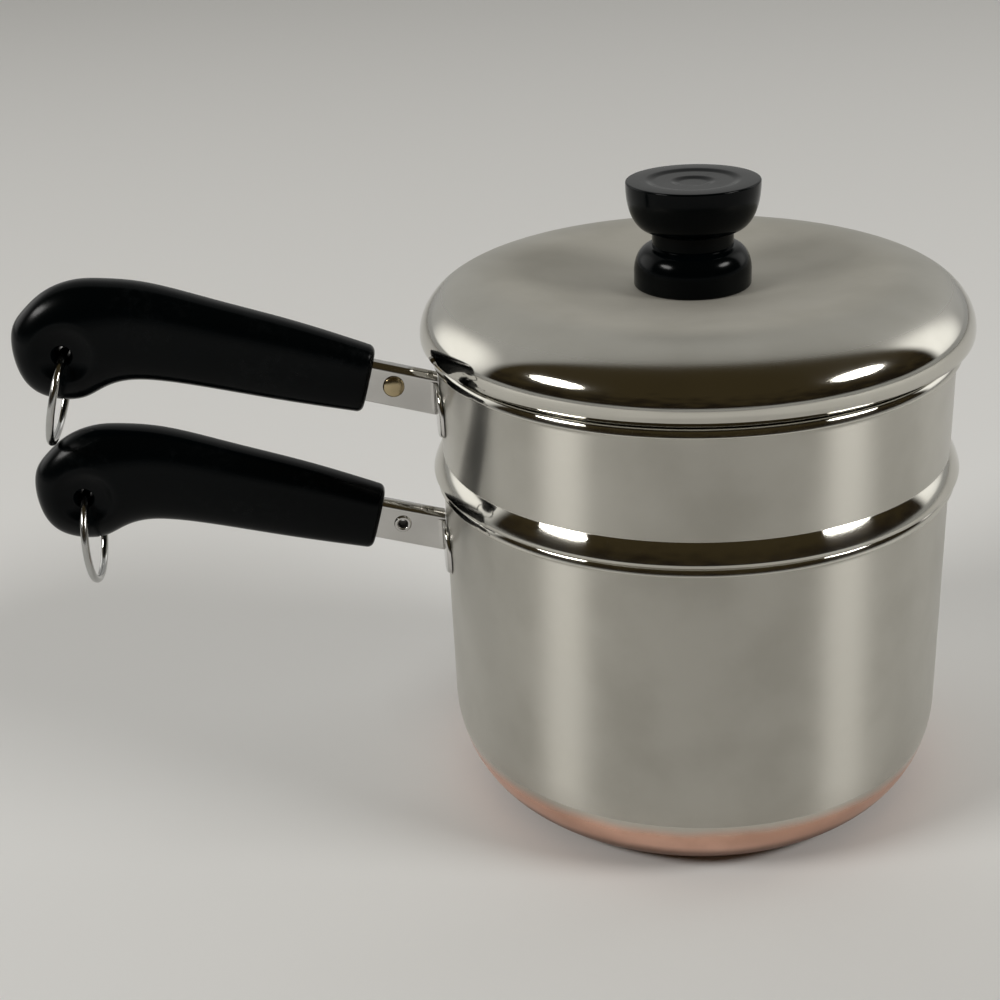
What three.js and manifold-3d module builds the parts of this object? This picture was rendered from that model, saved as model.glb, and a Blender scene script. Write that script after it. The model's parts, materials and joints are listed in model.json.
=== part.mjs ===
// A stovetop saucepan with a lift-out steamer insert and a lid, in millimetres, +Z up.
// The origin is on the pan's axis at the underside of its base. Both handles point along -X.
import * as THREE from "three";
import { ParametricGeometry } from "three/addons/geometries/ParametricGeometry.js";
import { mergeVertices } from "three/addons/utils/BufferGeometryUtils.js";
import Module from "manifold-3d";

// Sheet metal and fits
const SHEET = 1.2; // wall of the pan, the insert, the lid and the brackets
const CLEAR = 0.3; // gap between pieces that touch
const BEAD_HEIGHT = 3; // rolled rims: how tall
const BEAD_PROUD = 1.9; // and how far they stand out of the wall

// Saucepan
const PAN_RADIUS = 88; // outside of the wall
const PAN_HEIGHT = 120; // underside of the base to the top of the rim
const PAN_CORNER_REACH = 23; // how far the base's corner reaches in from the wall
const PAN_CORNER_RISE = 33; // how far it reaches up the wall
const COPPER_THICKNESS = 0.5; // layer on the base
const COPPER_DROP = 9.5; // its upper edge, below the top of the corner

// Steamer insert
const STEAMER_SET_IN = 0.4; // its wall, in from the pan's
const STEAMER_RISE = 45.2; // top of its rim, above the pan's rim
const SHOULDER_HEIGHT = 7.7; // band that rests on the pan's rim, up to its crease
const SHOULDER_LIP = 1.3; // rounded lower edge of that band
const LIP_PROUD = 0.3; // lip, past the pan's rim
const INSERT_PLAY = 2.8; // between the pan and the lower wall of the insert
const INSERT_DEPTH = 55; // floor of the insert, below the pan's rim
const INSERT_CORNER = 12; // corner between that wall and the floor
const VENT_RADIUS = 3; // steam holes
const VENT_PITCH = 17; // between the circles of steam holes
const VENT_MARGIN = 8; // plain floor outside the last circle

// Lid
const LID_OVERHANG = 5.4; // widest ring of the lid, past the insert's wall
const LID_REST = 0.6; // outer edge of the seat on the insert's rim, past the wall
const LID_EDGE_RISE = 4.7; // seat to the widest ring
const LID_CURL = -20; // how far the edge curls under, in degrees, before it slants in to the seat
const LID_DOME_RISE = 17.3; // widest ring to the crown
const LID_SHOULDER = 23; // crown to the widest ring, across
const LID_DISH = 4.8; // middle of the lid, below the crown
const LID_FLANGE_DEPTH = 8; // flange inside the insert, below the seat
const LID_FLANGE_PLAY = 0.8; // between the flange and the insert

// Knob
const KNOB_TOP_RADIUS = 22.3;
const KNOB_NECK_RADIUS = 13.6;
const KNOB_BASE_RADIUS = 19.7;
const KNOB_BASE_HEIGHT = 13.6; // skirt, up to the neck
const KNOB_NECK_HEIGHT = 4.8;
const KNOB_CUP_HEIGHT = 16.6;
const KNOB_SKIRT_SIDE = 4.5; // upright lower part of the skirt
const KNOB_EDGE = 1.2; // rounding of its edges
const KNOB_FULLNESS = 2.5; // power of its round sides, 2 is an ellipse
const KNOB_RIM_WIDTH = 7.8; // flat rim of the top
const KNOB_DIMPLE_RADIUS = 6; // dimple in the middle of the top
const KNOB_RING_DEPTH = 0.7; // each step down from the rim to the dimple
const KNOB_SEAT_MARGIN = 1.5; // flat of the lid round the knob
const SCREW_RADIUS = 2.5;
const SCREW_HEAD_RADIUS = 4.8;
const SCREW_HEAD_HEIGHT = 2.6;
const SLEEVE_WALL = 2.2; // threaded sleeve in the cup
const SLEEVE_FLOOR = 3; // moulding between the neck's foot and the sleeve
const SLEEVE_ROOF = 6; // moulding between the sleeve and the knob's top
const WASHER_RADIUS = 7;
const WASHER_THICKNESS = 1;

// Handles
const HANDLE_RISE = THREE.MathUtils.degToRad(16);
const HANDLE_DROP = 15.7; // middle of the upper bracket at the wall, below the insert's rim
const GRIP_GAP = 4.4; // between the levels of the two grips
const BRACKET_HEIGHT = 14.5;
const BRACKET_LENGTH = 24.5; // wall to the grip
const BRACKET_SOCKET = 12; // channel inside the grip
const LEAF_REACH = 11; // flange on the wall, out from the channel
const LEAF_DROP = 5; // its round end, below the channel
const TANG_THICKNESS = 3;
const TANG_LENGTH = 44; // tongue inside the grip
const RIVET_INSET = 8.5; // rivet, from the grip
const RIVET_SHANK = 2.1; // radii
const RIVET_HEAD = 3.7;
const RIVET_HEAD_RISE = 1.2;
const EYELET_HEAD = 3.1;
const EYELET_BORE = 1.4;

// Grip
const GRIP_LENGTH = 119;
const GRIP_DEPTH = 45.3; // top of the bulge to the lowest point of the end
const GRIP_WIDTH = 22;
// Paired points of its upper and lower edge, as shares of its length and depth, and its half width
const GRIP_STATIONS = [
  { top: [0, 0.249], bottom: [0, -0.26], half: 0.328 },
  { top: [0.235, 0.316], bottom: [0.235, -0.291], half: 0.372 },
  { top: [0.454, 0.351], bottom: [0.454, -0.307], half: 0.408 },
  { top: [0.647, 0.377], bottom: [0.639, -0.353], half: 0.448 },
  { top: [0.773, 0.344], bottom: [0.731, -0.477], half: 0.484 },
  { top: [0.857, 0.287], bottom: [0.79, -0.592], half: 0.5 },
  { top: [0.929, 0.163], bottom: [0.882, -0.623], half: 0.456 },
  { top: [0.978, -0.009], bottom: [0.958, -0.497], half: 0.328 },
  { top: [1, -0.216], bottom: [1, -0.216], half: 0 },
];
const GRIP_SQUARENESS = 2.5; // power of the rounded section, 2 is an ellipse
const RING_HOLE = [0.849, -0.243]; // along the grip and up from its axis, as such shares

// Hanging rings
const RING_ROOM = 4.1; // between the wire and the sides of the grip
const RING_WIRE = 1.3; // radius of the wire
const RING_PLAY = 0.4; // round the wire in its hole
const RING_HOLLOW = 12; // radius of the hollow round that hole, on each side of the grip
const RING_WEB = 14; // thickness of the grip between the hollows

// Facets
const VESSEL_FACETS = 40;
const KNOB_FACETS = 24;
const SMALL_FACETS = 12;
const VENT_FACETS = 6;
const ARC_STEPS = 5;
const EDGE_STEPS = 3;
const FOLD_STEPS = 5;
const GRIP_STEPS = 18;
const GRIP_FACETS = 16;
const LEAN_STEPS = 200;
const RING_FACETS = 24;
const HOLLOW_FACETS = 32;
const WIRE_FACETS = 6;

const HALF_TURN = Math.PI;
const QUARTER_TURN = Math.PI / 2;

const steel = { color: 0xc9c8c4, roughness: 0.2, metalness: 1 };
const copper = { color: 0xd9967a, roughness: 0.35, metalness: 1 };
const brass = { color: 0xb39c66, roughness: 0.35, metalness: 1 };
const phenolic = { color: 0x101114, roughness: 0.4, metalness: 0 };

const wasm = await Module();
wasm.setup();

// A closed geometry as a solid that can be joined and cut.
function solid(geometry) {
  const bare = geometry.clone();
  bare.deleteAttribute("normal");
  bare.deleteAttribute("uv");
  const merged = mergeVertices(bare, 1e-4);
  const vertProperties = merged.attributes.position.array;
  const triVerts = new Uint32Array(merged.index.array);
  return new wasm.Manifold(new wasm.Mesh({ numProp: 3, vertProperties, triVerts }));
}

// The geometry of a joined or cut solid.
function surface(body) {
  const { vertProperties, triVerts } = body.getMesh();
  const geometry = new THREE.BufferGeometry();
  geometry.setAttribute("position", new THREE.BufferAttribute(vertProperties, 3));
  geometry.setIndex(new THREE.BufferAttribute(triVerts, 1));
  geometry.computeVertexNormals();
  return geometry;
}

// One named piece with a material of its own.
function piece(name, geometry, finish) {
  const mesh = new THREE.Mesh(geometry, new THREE.MeshStandardMaterial(finish));
  mesh.name = name;
  return mesh;
}

// Points of an elliptical arc, from one angle to another, in degrees from the outward direction.
function arc(centreR, centreZ, reach, rise, from, to, steps = ARC_STEPS) {
  return Array.from({ length: steps + 1 }, (_, i) => {
    const angle = THREE.MathUtils.degToRad(from + ((to - from) * i) / steps);
    return [centreR + reach * Math.cos(angle), centreZ + rise * Math.sin(angle)];
  });
}

// A solid of revolution about Z from an outline of [radius, height] that runs round its section.
function turned(outline, facets, closed = false) {
  const ring = closed ? [...outline, outline[0]] : outline;
  const area = outline.reduce((sum, [r, z], i) => {
    const [nextR, nextZ] = outline[(i + 1) % outline.length];
    return sum + r * nextZ - nextR * z;
  }, 0);
  const ordered = area < 0 ? [...ring].reverse() : ring;
  const points = ordered.map(([r, z]) => new THREE.Vector2(r, z));
  return new THREE.LatheGeometry(points, facets).rotateX(QUARTER_TURN);
}

// Outer half of a rolled rim, from the wall below it round to its top.
function bead(radius, top) {
  const middle = top - BEAD_HEIGHT / 2;
  return arc(radius, middle, BEAD_PROUD, BEAD_HEIGHT / 2, -90, 90, EDGE_STEPS);
}

// Saucepan: a point on its base corner, by the angle below the horizontal, moved in from the surface.
function panCorner(angle, inset) {
  const across = Math.cos(angle);
  const down = Math.sin(angle);
  const normal = new THREE.Vector2(across / PAN_CORNER_REACH, -down / PAN_CORNER_RISE).normalize();
  return [
    PAN_RADIUS - PAN_CORNER_REACH + PAN_CORNER_REACH * across - inset * normal.x,
    PAN_CORNER_RISE - PAN_CORNER_RISE * down - inset * normal.y,
  ];
}

function panCornerArc(from, to, inset, steps = ARC_STEPS) {
  return Array.from({ length: steps + 1 }, (_, i) => {
    const angle = from + ((to - from) * i) / steps;
    return panCorner(angle, inset(angle));
  });
}

const copperEdge = Math.asin(COPPER_DROP / PAN_CORNER_RISE);
const stepEdge = Math.asin((COPPER_DROP - CLEAR) / PAN_CORNER_RISE);
const behindCopper = COPPER_THICKNESS + CLEAR;

function copperBase() {
  return turned(
    [
      [0, 0],
      ...panCornerArc(QUARTER_TURN, copperEdge, () => 0),
      ...panCornerArc(copperEdge, QUARTER_TURN, () => COPPER_THICKNESS),
      [0, COPPER_THICKNESS],
    ],
    VESSEL_FACETS,
  );
}

function panBody() {
  const fade = (angle) => SHEET + behindCopper * Math.min(1, angle / copperEdge);
  return turned(
    [
      [0, behindCopper],
      ...panCornerArc(QUARTER_TURN, stepEdge, () => behindCopper),
      ...panCornerArc(stepEdge, 0, () => 0, EDGE_STEPS),
      ...bead(PAN_RADIUS, PAN_HEIGHT),
      [PAN_RADIUS - SHEET, PAN_HEIGHT],
      ...panCornerArc(0, copperEdge, fade, EDGE_STEPS),
      ...panCornerArc(copperEdge, QUARTER_TURN, fade).slice(1),
      [0, behindCopper + SHEET],
    ],
    VESSEL_FACETS,
  );
}

// Steamer insert: its shoulder rests on the pan's rim, and its lower wall hangs inside the pan.
const steamerRadius = PAN_RADIUS - STEAMER_SET_IN;
const steamerTop = PAN_HEIGHT + STEAMER_RISE;
const shoulderSeat = PAN_HEIGHT + CLEAR;
const insertRadius = PAN_RADIUS - SHEET - INSERT_PLAY;
const insertFloor = PAN_HEIGHT - INSERT_DEPTH;

function steamerShell() {
  const lip = PAN_RADIUS + BEAD_PROUD + LIP_PROUD;
  const crease = shoulderSeat + SHOULDER_HEIGHT;
  const slope = Math.atan2(lip - steamerRadius, SHOULDER_HEIGHT - SHOULDER_LIP);
  const lipEnd = THREE.MathUtils.radToDeg(slope);
  const ledge = shoulderSeat + SHEET;
  const corner = insertFloor + INSERT_CORNER;
  const turn = insertRadius - INSERT_CORNER;
  return turned(
    [
      [0, insertFloor],
      ...arc(turn, corner, INSERT_CORNER, INSERT_CORNER, -90, 0, EDGE_STEPS),
      [insertRadius, shoulderSeat],
      ...arc(
        lip - SHOULDER_LIP,
        shoulderSeat + SHOULDER_LIP,
        SHOULDER_LIP,
        SHOULDER_LIP,
        -90,
        lipEnd,
        EDGE_STEPS,
      ),
      [steamerRadius, crease],
      ...bead(steamerRadius, steamerTop),
      [steamerRadius - SHEET, steamerTop],
      [steamerRadius - SHEET, ledge],
      [insertRadius - SHEET, ledge],
      ...arc(turn, corner, INSERT_CORNER - SHEET, INSERT_CORNER - SHEET, 0, -90, EDGE_STEPS),
      [0, insertFloor + SHEET],
    ],
    VESSEL_FACETS,
  );
}

// The floor has one hole in the middle, and circles of six, twelve, eighteen and so on round it.
function steamerBody() {
  let body = solid(steamerShell());
  const flat = insertRadius - INSERT_CORNER - VENT_MARGIN - VENT_RADIUS;
  const circles = Math.floor(flat / VENT_PITCH);
  const through = new THREE.CylinderGeometry(VENT_RADIUS, VENT_RADIUS, 3 * SHEET, VENT_FACETS);
  through.rotateX(QUARTER_TURN);
  for (let circle = 0; circle <= circles; circle += 1) {
    const count = Math.max(1, 6 * circle);
    for (let i = 0; i < count; i += 1) {
      const angle = (2 * HALF_TURN * i) / count;
      const x = circle * VENT_PITCH * Math.cos(angle);
      const y = circle * VENT_PITCH * Math.sin(angle);
      body = body.subtract(solid(through.clone().translate(x, y, insertFloor + SHEET / 2)));
    }
  }
  return surface(body);
}

// Lid: one pressing, from the middle out over the crown, round the edge, in to the seat and down.
const lidSeat = steamerTop + CLEAR;
const lidRadius = steamerRadius + LID_OVERHANG;
const lidWidest = lidSeat + LID_EDGE_RISE;
const lidCrown = lidWidest + LID_DOME_RISE;
const crownRadius = lidRadius - LID_SHOULDER;
const knobSeat = lidCrown - LID_DISH;
const knobSeatRadius = KNOB_BASE_RADIUS + KNOB_SEAT_MARGIN;
const screwHole = SCREW_RADIUS + CLEAR;

// Sunken middle of the lid, from the knob's seat up to the crown, as half a cosine wave.
function lidDish(drop) {
  return Array.from({ length: ARC_STEPS }, (_, i) => {
    const share = i / ARC_STEPS;
    const r = knobSeatRadius + (crownRadius - knobSeatRadius) * share;
    return [r, lidCrown - drop - (LID_DISH * (1 + Math.cos(HALF_TURN * share))) / 2];
  });
}

function lidShell() {
  const rest = steamerRadius + LID_REST;
  const tuck = lidRadius - rest;
  const flange = steamerRadius - SHEET - LID_FLANGE_PLAY;
  return turned(
    [
      [screwHole, knobSeat],
      ...lidDish(0),
      ...arc(crownRadius, lidWidest, LID_SHOULDER, LID_DOME_RISE, 90, 0),
      ...arc(rest, lidWidest, tuck, LID_EDGE_RISE, 0, LID_CURL, 1).slice(1),
      [rest, lidSeat],
      [flange, lidSeat],
      [flange, lidSeat - LID_FLANGE_DEPTH],
      [flange - SHEET, lidSeat - LID_FLANGE_DEPTH],
      [flange - SHEET, lidSeat + SHEET],
      [rest, lidSeat + SHEET],
      ...arc(rest, lidWidest, tuck - SHEET, LID_EDGE_RISE - SHEET, LID_CURL, 0, 1),
      ...arc(crownRadius, lidWidest, LID_SHOULDER - SHEET, LID_DOME_RISE - SHEET, 0, 90).slice(1),
      ...lidDish(SHEET).reverse(),
      [screwHole, knobSeat - SHEET],
    ],
    VESSEL_FACETS,
    true,
  );
}

// Knob: a skirt and a cup, drawn down on the lid by a screw from inside.
const skirtFoot = knobSeat + CLEAR;
const skirtTop = skirtFoot + KNOB_BASE_HEIGHT;
const neckFoot = skirtTop + CLEAR;
const cupFoot = neckFoot + KNOB_NECK_HEIGHT;
const knobTop = cupFoot + KNOB_CUP_HEIGHT;
const sleeveRadius = screwHole + SLEEVE_WALL;
const sleeveFoot = neckFoot + SLEEVE_FLOOR;
const sleeveTop = knobTop - SLEEVE_ROOF;

// Points of a round side of the knob, a superellipse, between two angles like those of an arc.
function roundSide(centreZ, reach, rise, from, to) {
  const power = 2 / KNOB_FULLNESS;
  return Array.from({ length: ARC_STEPS + 1 }, (_, i) => {
    const angle = THREE.MathUtils.degToRad(from + ((to - from) * i) / ARC_STEPS);
    const out = Math.abs(Math.cos(angle)) ** power;
    const up = Math.sign(Math.sin(angle)) * Math.abs(Math.sin(angle)) ** power;
    return [KNOB_NECK_RADIUS + reach * out, centreZ + rise * up];
  });
}

function knobBase() {
  const flare = KNOB_BASE_RADIUS - KNOB_NECK_RADIUS;
  const shoulder = skirtFoot + KNOB_SKIRT_SIDE;
  return turned(
    [
      [screwHole, skirtFoot],
      [KNOB_BASE_RADIUS - KNOB_EDGE, skirtFoot],
      [KNOB_BASE_RADIUS, skirtFoot + KNOB_EDGE],
      ...roundSide(shoulder, flare, skirtTop - shoulder, 0, 90),
      [screwHole, skirtTop],
    ],
    KNOB_FACETS,
    true,
  );
}

// The top steps down from a flat rim to a broad ring and a dimple.
function knobCap() {
  const edge = knobTop - KNOB_EDGE;
  const flare = KNOB_TOP_RADIUS - KNOB_NECK_RADIUS;
  const rim = KNOB_TOP_RADIUS - KNOB_RIM_WIDTH;
  const cavity = sleeveRadius + CLEAR;
  return turned(
    [
      [0, sleeveTop + CLEAR],
      [cavity, sleeveTop + CLEAR],
      [cavity, sleeveFoot - CLEAR],
      [screwHole, sleeveFoot - CLEAR],
      [screwHole, neckFoot],
      [KNOB_NECK_RADIUS, neckFoot],
      ...roundSide(edge, flare, edge - cupFoot, -90, 0),
      [KNOB_TOP_RADIUS - KNOB_EDGE, knobTop],
      [rim, knobTop],
      [rim - KNOB_RING_DEPTH, knobTop - KNOB_RING_DEPTH],
      [KNOB_DIMPLE_RADIUS, knobTop - KNOB_RING_DEPTH],
      [KNOB_DIMPLE_RADIUS - KNOB_RING_DEPTH, knobTop - 2 * KNOB_RING_DEPTH],
      [0, knobTop - 2 * KNOB_RING_DEPTH],
    ],
    KNOB_FACETS,
  );
}

function knobInsert() {
  return turned(
    [
      [screwHole, sleeveFoot],
      [sleeveRadius, sleeveFoot],
      [sleeveRadius, sleeveTop],
      [screwHole, sleeveTop],
    ],
    SMALL_FACETS,
    true,
  );
}

const washerTop = knobSeat - SHEET - CLEAR;
const screwHeadTop = washerTop - WASHER_THICKNESS - CLEAR;

function knobWasher() {
  return turned(
    [
      [screwHole, washerTop - WASHER_THICKNESS],
      [WASHER_RADIUS, washerTop - WASHER_THICKNESS],
      [WASHER_RADIUS, washerTop],
      [screwHole, washerTop],
    ],
    SMALL_FACETS,
    true,
  );
}

function knobScrew() {
  const foot = screwHeadTop - SCREW_HEAD_HEIGHT;
  return turned(
    [
      [0, foot],
      ...arc(0, screwHeadTop, SCREW_HEAD_RADIUS, SCREW_HEAD_HEIGHT, -60, 0, EDGE_STEPS),
      [SCREW_RADIUS, screwHeadTop],
      [SCREW_RADIUS, sleeveTop - SCREW_RADIUS],
      [0, sleeveTop],
    ],
    SMALL_FACETS,
  );
}

// Handles: each is drawn in its own frame, X out along the bracket and Z up, from a point on the wall.
const tangHalf = TANG_THICKNESS / 2;
const bracketHalf = tangHalf + CLEAR + SHEET; // outside of the channel
const bracketTop = BRACKET_HEIGHT / 2;
const foldFoot = bracketTop - bracketHalf; // where the round fold meets the sides
const bracketEnd = BRACKET_LENGTH + BRACKET_SOCKET;
const tangEnd = BRACKET_LENGTH + TANG_LENGTH;
const rivetPlace = BRACKET_LENGTH - RIVET_INSET;

function handleFrame(radius, height) {
  const frame = new THREE.Group();
  frame.position.set(-radius, 0, height);
  frame.rotation.set(0, -HANDLE_RISE, HALF_TURN, "ZYX");
  frame.updateMatrix();
  return frame;
}

// A flat shape of (across, up), carried along the handle from one place to another.
function alongHandle(shape, from, to) {
  const geometry = new THREE.ExtrudeGeometry(shape, {
    depth: to - from,
    bevelEnabled: false,
    curveSegments: FOLD_STEPS,
  });
  const across = new THREE.Vector3(0, 1, 0);
  const up = new THREE.Vector3(0, 0, 1);
  const out = new THREE.Vector3(1, 0, 0);
  return geometry.applyMatrix4(new THREE.Matrix4().makeBasis(across, up, out)).translate(from, 0, 0);
}

// Section of the folded channel, open at the bottom, with its round fold on top.
function channelSection(half, top, bottom) {
  const shape = new THREE.Shape();
  shape.moveTo(-half, bottom);
  shape.lineTo(half, bottom);
  shape.lineTo(half, top - half);
  shape.absarc(0, top - half, half, 0, HALF_TURN, false);
  shape.closePath();
  return shape;
}

// Outline of the two leaves on the wall: narrow above, widest near the channel's foot, round below.
function leafOutline() {
  const wide = bracketHalf + LEAF_REACH;
  const middle = bracketHalf + LEAF_REACH / 2;
  const end = -bracketTop - LEAF_DROP;
  const shape = new THREE.Shape();
  shape.moveTo(bracketHalf, foldFoot);
  shape.quadraticCurveTo(wide, foldFoot, wide, -bracketTop);
  shape.quadraticCurveTo(wide, end, middle, end);
  shape.quadraticCurveTo(0, end, 0, -bracketTop);
  shape.quadraticCurveTo(0, end, -middle, end);
  shape.quadraticCurveTo(-wide, end, -wide, -bracketTop);
  shape.quadraticCurveTo(-wide, foldFoot, -bracketHalf, foldFoot);
  shape.closePath();
  return shape;
}

// A cylinder about the pan's axis, in the frame of a handle.
function aboutAxis(frame, radius) {
  const tall = 2 * (PAN_HEIGHT + STEAMER_RISE);
  const column = turned([[0, -tall], [radius, -tall], [radius, tall], [0, tall]], VESSEL_FACETS);
  return solid(column.applyMatrix4(frame.matrix.clone().invert()));
}

// The rivet's hole through the channel and the tang.
function rivetBore() {
  const radius = RIVET_SHANK + CLEAR;
  const bore = new THREE.CylinderGeometry(radius, radius, 4 * bracketHalf, SMALL_FACETS);
  return solid(bore.translate(rivetPlace, 0, 0));
}

function bracket(frame, wallRadius) {
  const inside = wallRadius + CLEAR;
  const section = channelSection(bracketHalf, bracketTop, -bracketTop);
  const outer = solid(alongHandle(section, -bracketHalf, bracketEnd));
  const hollow = channelSection(bracketHalf - SHEET, bracketTop - SHEET, -bracketTop - SHEET);
  const inner = solid(alongHandle(hollow, -BRACKET_HEIGHT, bracketEnd + SHEET));
  const leaves = solid(alongHandle(leafOutline(), -BRACKET_LENGTH, BRACKET_LENGTH));
  const skin = aboutAxis(frame, inside + SHEET).subtract(aboutAxis(frame, inside));
  const body = outer
    .add(leaves.intersect(skin))
    .subtract(inner)
    .subtract(aboutAxis(frame, inside))
    .subtract(rivetBore());
  return surface(body);
}

function tangSection(half, top) {
  const shape = new THREE.Shape();
  shape.moveTo(-half, -top);
  shape.lineTo(half, -top);
  shape.lineTo(half, top);
  shape.lineTo(-half, top);
  shape.closePath();
  return shape;
}

function tang() {
  const bar = alongHandle(tangSection(tangHalf, foldFoot), rivetPlace - RIVET_INSET, tangEnd);
  return surface(solid(bar).subtract(rivetBore()));
}

// Solid rivet with a low dome on each side, turned about the line across the bracket.
function rivet() {
  const face = bracketHalf + CLEAR;
  const dome = arc(0, face, RIVET_HEAD, RIVET_HEAD_RISE, 0, 90, EDGE_STEPS);
  const upper = [[RIVET_SHANK, face], ...dome];
  const lower = upper.map(([r, z]) => [r, -z]).reverse();
  return turned([...lower, ...upper], SMALL_FACETS).rotateX(QUARTER_TURN).translate(rivetPlace, 0, 0);
}

// Hollow eyelet with a rolled edge on each side.
function eyelet() {
  const face = bracketHalf + CLEAR;
  const roll = (EYELET_HEAD - EYELET_BORE) / 2;
  const edge = arc(EYELET_HEAD - roll, face, roll, roll, 0, 180, EDGE_STEPS);
  const upper = [[RIVET_SHANK, face], ...edge];
  const lower = upper.map(([r, z]) => [r, -z]).reverse();
  return turned([...lower, ...upper], SMALL_FACETS, true).rotateX(QUARTER_TURN).translate(rivetPlace, 0, 0);
}

// A place on the grip, from its shares of the length and the depth.
function onGrip([along, up]) {
  return new THREE.Vector2(GRIP_LENGTH * along, GRIP_DEPTH * up);
}

// Smooth edges of the grip through its stations.
const gripTop = new THREE.SplineCurve(GRIP_STATIONS.map(({ top }) => onGrip(top)));
const gripBottom = new THREE.SplineCurve(GRIP_STATIONS.map(({ bottom }) => onGrip(bottom)));
const gripHalf = new THREE.SplineCurve(
  GRIP_STATIONS.map(({ half }, i) => new THREE.Vector2(i, GRIP_WIDTH * half)),
);

// The grip's skin: a flat inner end, then rounded sections from the upper to the lower edge, to the tip.
function gripSkin(turn, along, target) {
  const step = along * (GRIP_STEPS + 1);
  const share = Math.max(0, step - 1) / GRIP_STEPS;
  const top = gripTop.getPoint(share);
  const bottom = gripBottom.getPoint(share);
  const spread = Math.min(1, step);
  const angle = -2 * HALF_TURN * turn;
  const power = 2 / GRIP_SQUARENESS;
  const up = Math.sign(Math.cos(angle)) * Math.abs(Math.cos(angle)) ** power * spread;
  const side = Math.sign(Math.sin(angle)) * Math.abs(Math.sin(angle)) ** power * spread;
  target.set(
    BRACKET_LENGTH + (top.x + bottom.x) / 2 + ((top.x - bottom.x) / 2) * up,
    gripHalf.getPoint(share).y * side,
    (top.y + bottom.y) / 2 + ((top.y - bottom.y) / 2) * up,
  );
}

const ringRadius = GRIP_WIDTH / 2 + RING_ROOM + RING_WIRE; // to the middle of the wire
const ringCentre = onGrip(RING_HOLE);
const ringPivot = new THREE.Vector3(BRACKET_LENGTH + ringCentre.x, 0, ringCentre.y);

// The ring's hole opens like a trumpet on both sides, as wide as the curved wire needs when it swings.
function ringHole() {
  const end = (GRIP_WIDTH + RING_ROOM) / 2;
  const wall = Array.from({ length: 2 * ARC_STEPS + 1 }, (_, i) => {
    const y = end * (i / ARC_STEPS - 1);
    const sag = ringRadius - Math.sqrt((ringRadius - RING_WIRE) ** 2 - y ** 2);
    return [sag + RING_PLAY, y];
  });
  const plug = turned([[0, -end], ...wall, [0, end]], SMALL_FACETS).rotateX(QUARTER_TURN);
  return solid(plug.translate(ringPivot.x, ringPivot.y, ringPivot.z));
}

// The round hollow on one side of the grip, a shallow cap of a ball.
function ringHollow(side) {
  const depth = (GRIP_WIDTH - RING_WEB) / 2;
  const ball = (RING_HOLLOW ** 2 + depth ** 2) / (2 * depth);
  const cap = new THREE.SphereGeometry(ball, HOLLOW_FACETS, HOLLOW_FACETS / 2);
  return solid(cap.translate(ringPivot.x, side * (RING_WEB / 2 + ball), ringPivot.z));
}

function grip() {
  const skin = new ParametricGeometry(gripSkin, GRIP_FACETS, GRIP_STEPS + 1);
  const socket = channelSection(bracketHalf + CLEAR, bracketTop + CLEAR, -bracketTop - CLEAR);
  const slot = tangSection(tangHalf + CLEAR, foldFoot + CLEAR);
  const body = solid(skin)
    .subtract(solid(alongHandle(socket, 0, bracketEnd + CLEAR)))
    .subtract(solid(alongHandle(slot, 0, tangEnd + CLEAR)))
    .subtract(ringHollow(1))
    .subtract(ringHollow(-1))
    .subtract(ringHole());
  return surface(body);
}

// A wire ring that hangs from the origin in the plane across the handle.
function ring() {
  const wire = new THREE.TorusGeometry(ringRadius, RING_WIRE, WIRE_FACETS, RING_FACETS);
  return wire.rotateY(QUARTER_TURN).translate(0, 0, -ringRadius);
}

// A ring that swings about the hole of a handle, turned outward from straight down.
function hungRing(name, frame, outward) {
  const swing = new THREE.Group();
  swing.position.copy(ringPivot.clone().applyMatrix4(frame.matrix));
  swing.rotation.y = outward;
  swing.add(piece(name, ring(), steel));
  return swing;
}

// How far out the upper ring leans where it comes down on the grip below it.
function leanOnGrip(upper, lower) {
  const pivot = ringPivot.clone().applyMatrix4(upper.matrix);
  const edge = Array.from({ length: LEAN_STEPS + 1 }, (_, i) => {
    const { x, y } = gripTop.getPoint(i / LEAN_STEPS);
    return new THREE.Vector3(BRACKET_LENGTH + x, 0, y).applyMatrix4(lower.matrix);
  });
  const fine = THREE.MathUtils.degToRad(0.25);
  let lean = QUARTER_TURN;
  const free = (angle) => {
    const reach = 2 * ringRadius;
    const low = new THREE.Vector3(-reach * Math.sin(angle), 0, -reach * Math.cos(angle)).add(pivot);
    return edge.every((point) => point.distanceTo(low) > RING_WIRE + CLEAR);
  };
  while (lean > 0 && free(lean - fine)) lean -= fine;
  return lean;
}

// The lower handle hangs below the upper one by the full height of a grip, and a gap.
const handlePitch = GRIP_DEPTH / Math.cos(HANDLE_RISE) + GRIP_GAP;
const steamerHandleHeight = steamerTop - HANDLE_DROP;
const steamerHandle = handleFrame(steamerRadius, steamerHandleHeight);
const panHandle = handleFrame(PAN_RADIUS, steamerHandleHeight - handlePitch);
panHandle.add(
  piece("pan_handle_bracket", bracket(panHandle, PAN_RADIUS), steel),
  piece("pan_handle_tang", tang(), steel),
  piece("pan_bracket_eyelet", eyelet(), steel),
  piece("pan_grip", grip(), phenolic),
);
steamerHandle.add(
  piece("steamer_handle_bracket", bracket(steamerHandle, steamerRadius), steel),
  piece("steamer_handle_tang", tang(), steel),
  piece("steamer_bracket_rivet", rivet(), brass),
  piece("steamer_grip", grip(), phenolic),
);

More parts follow.
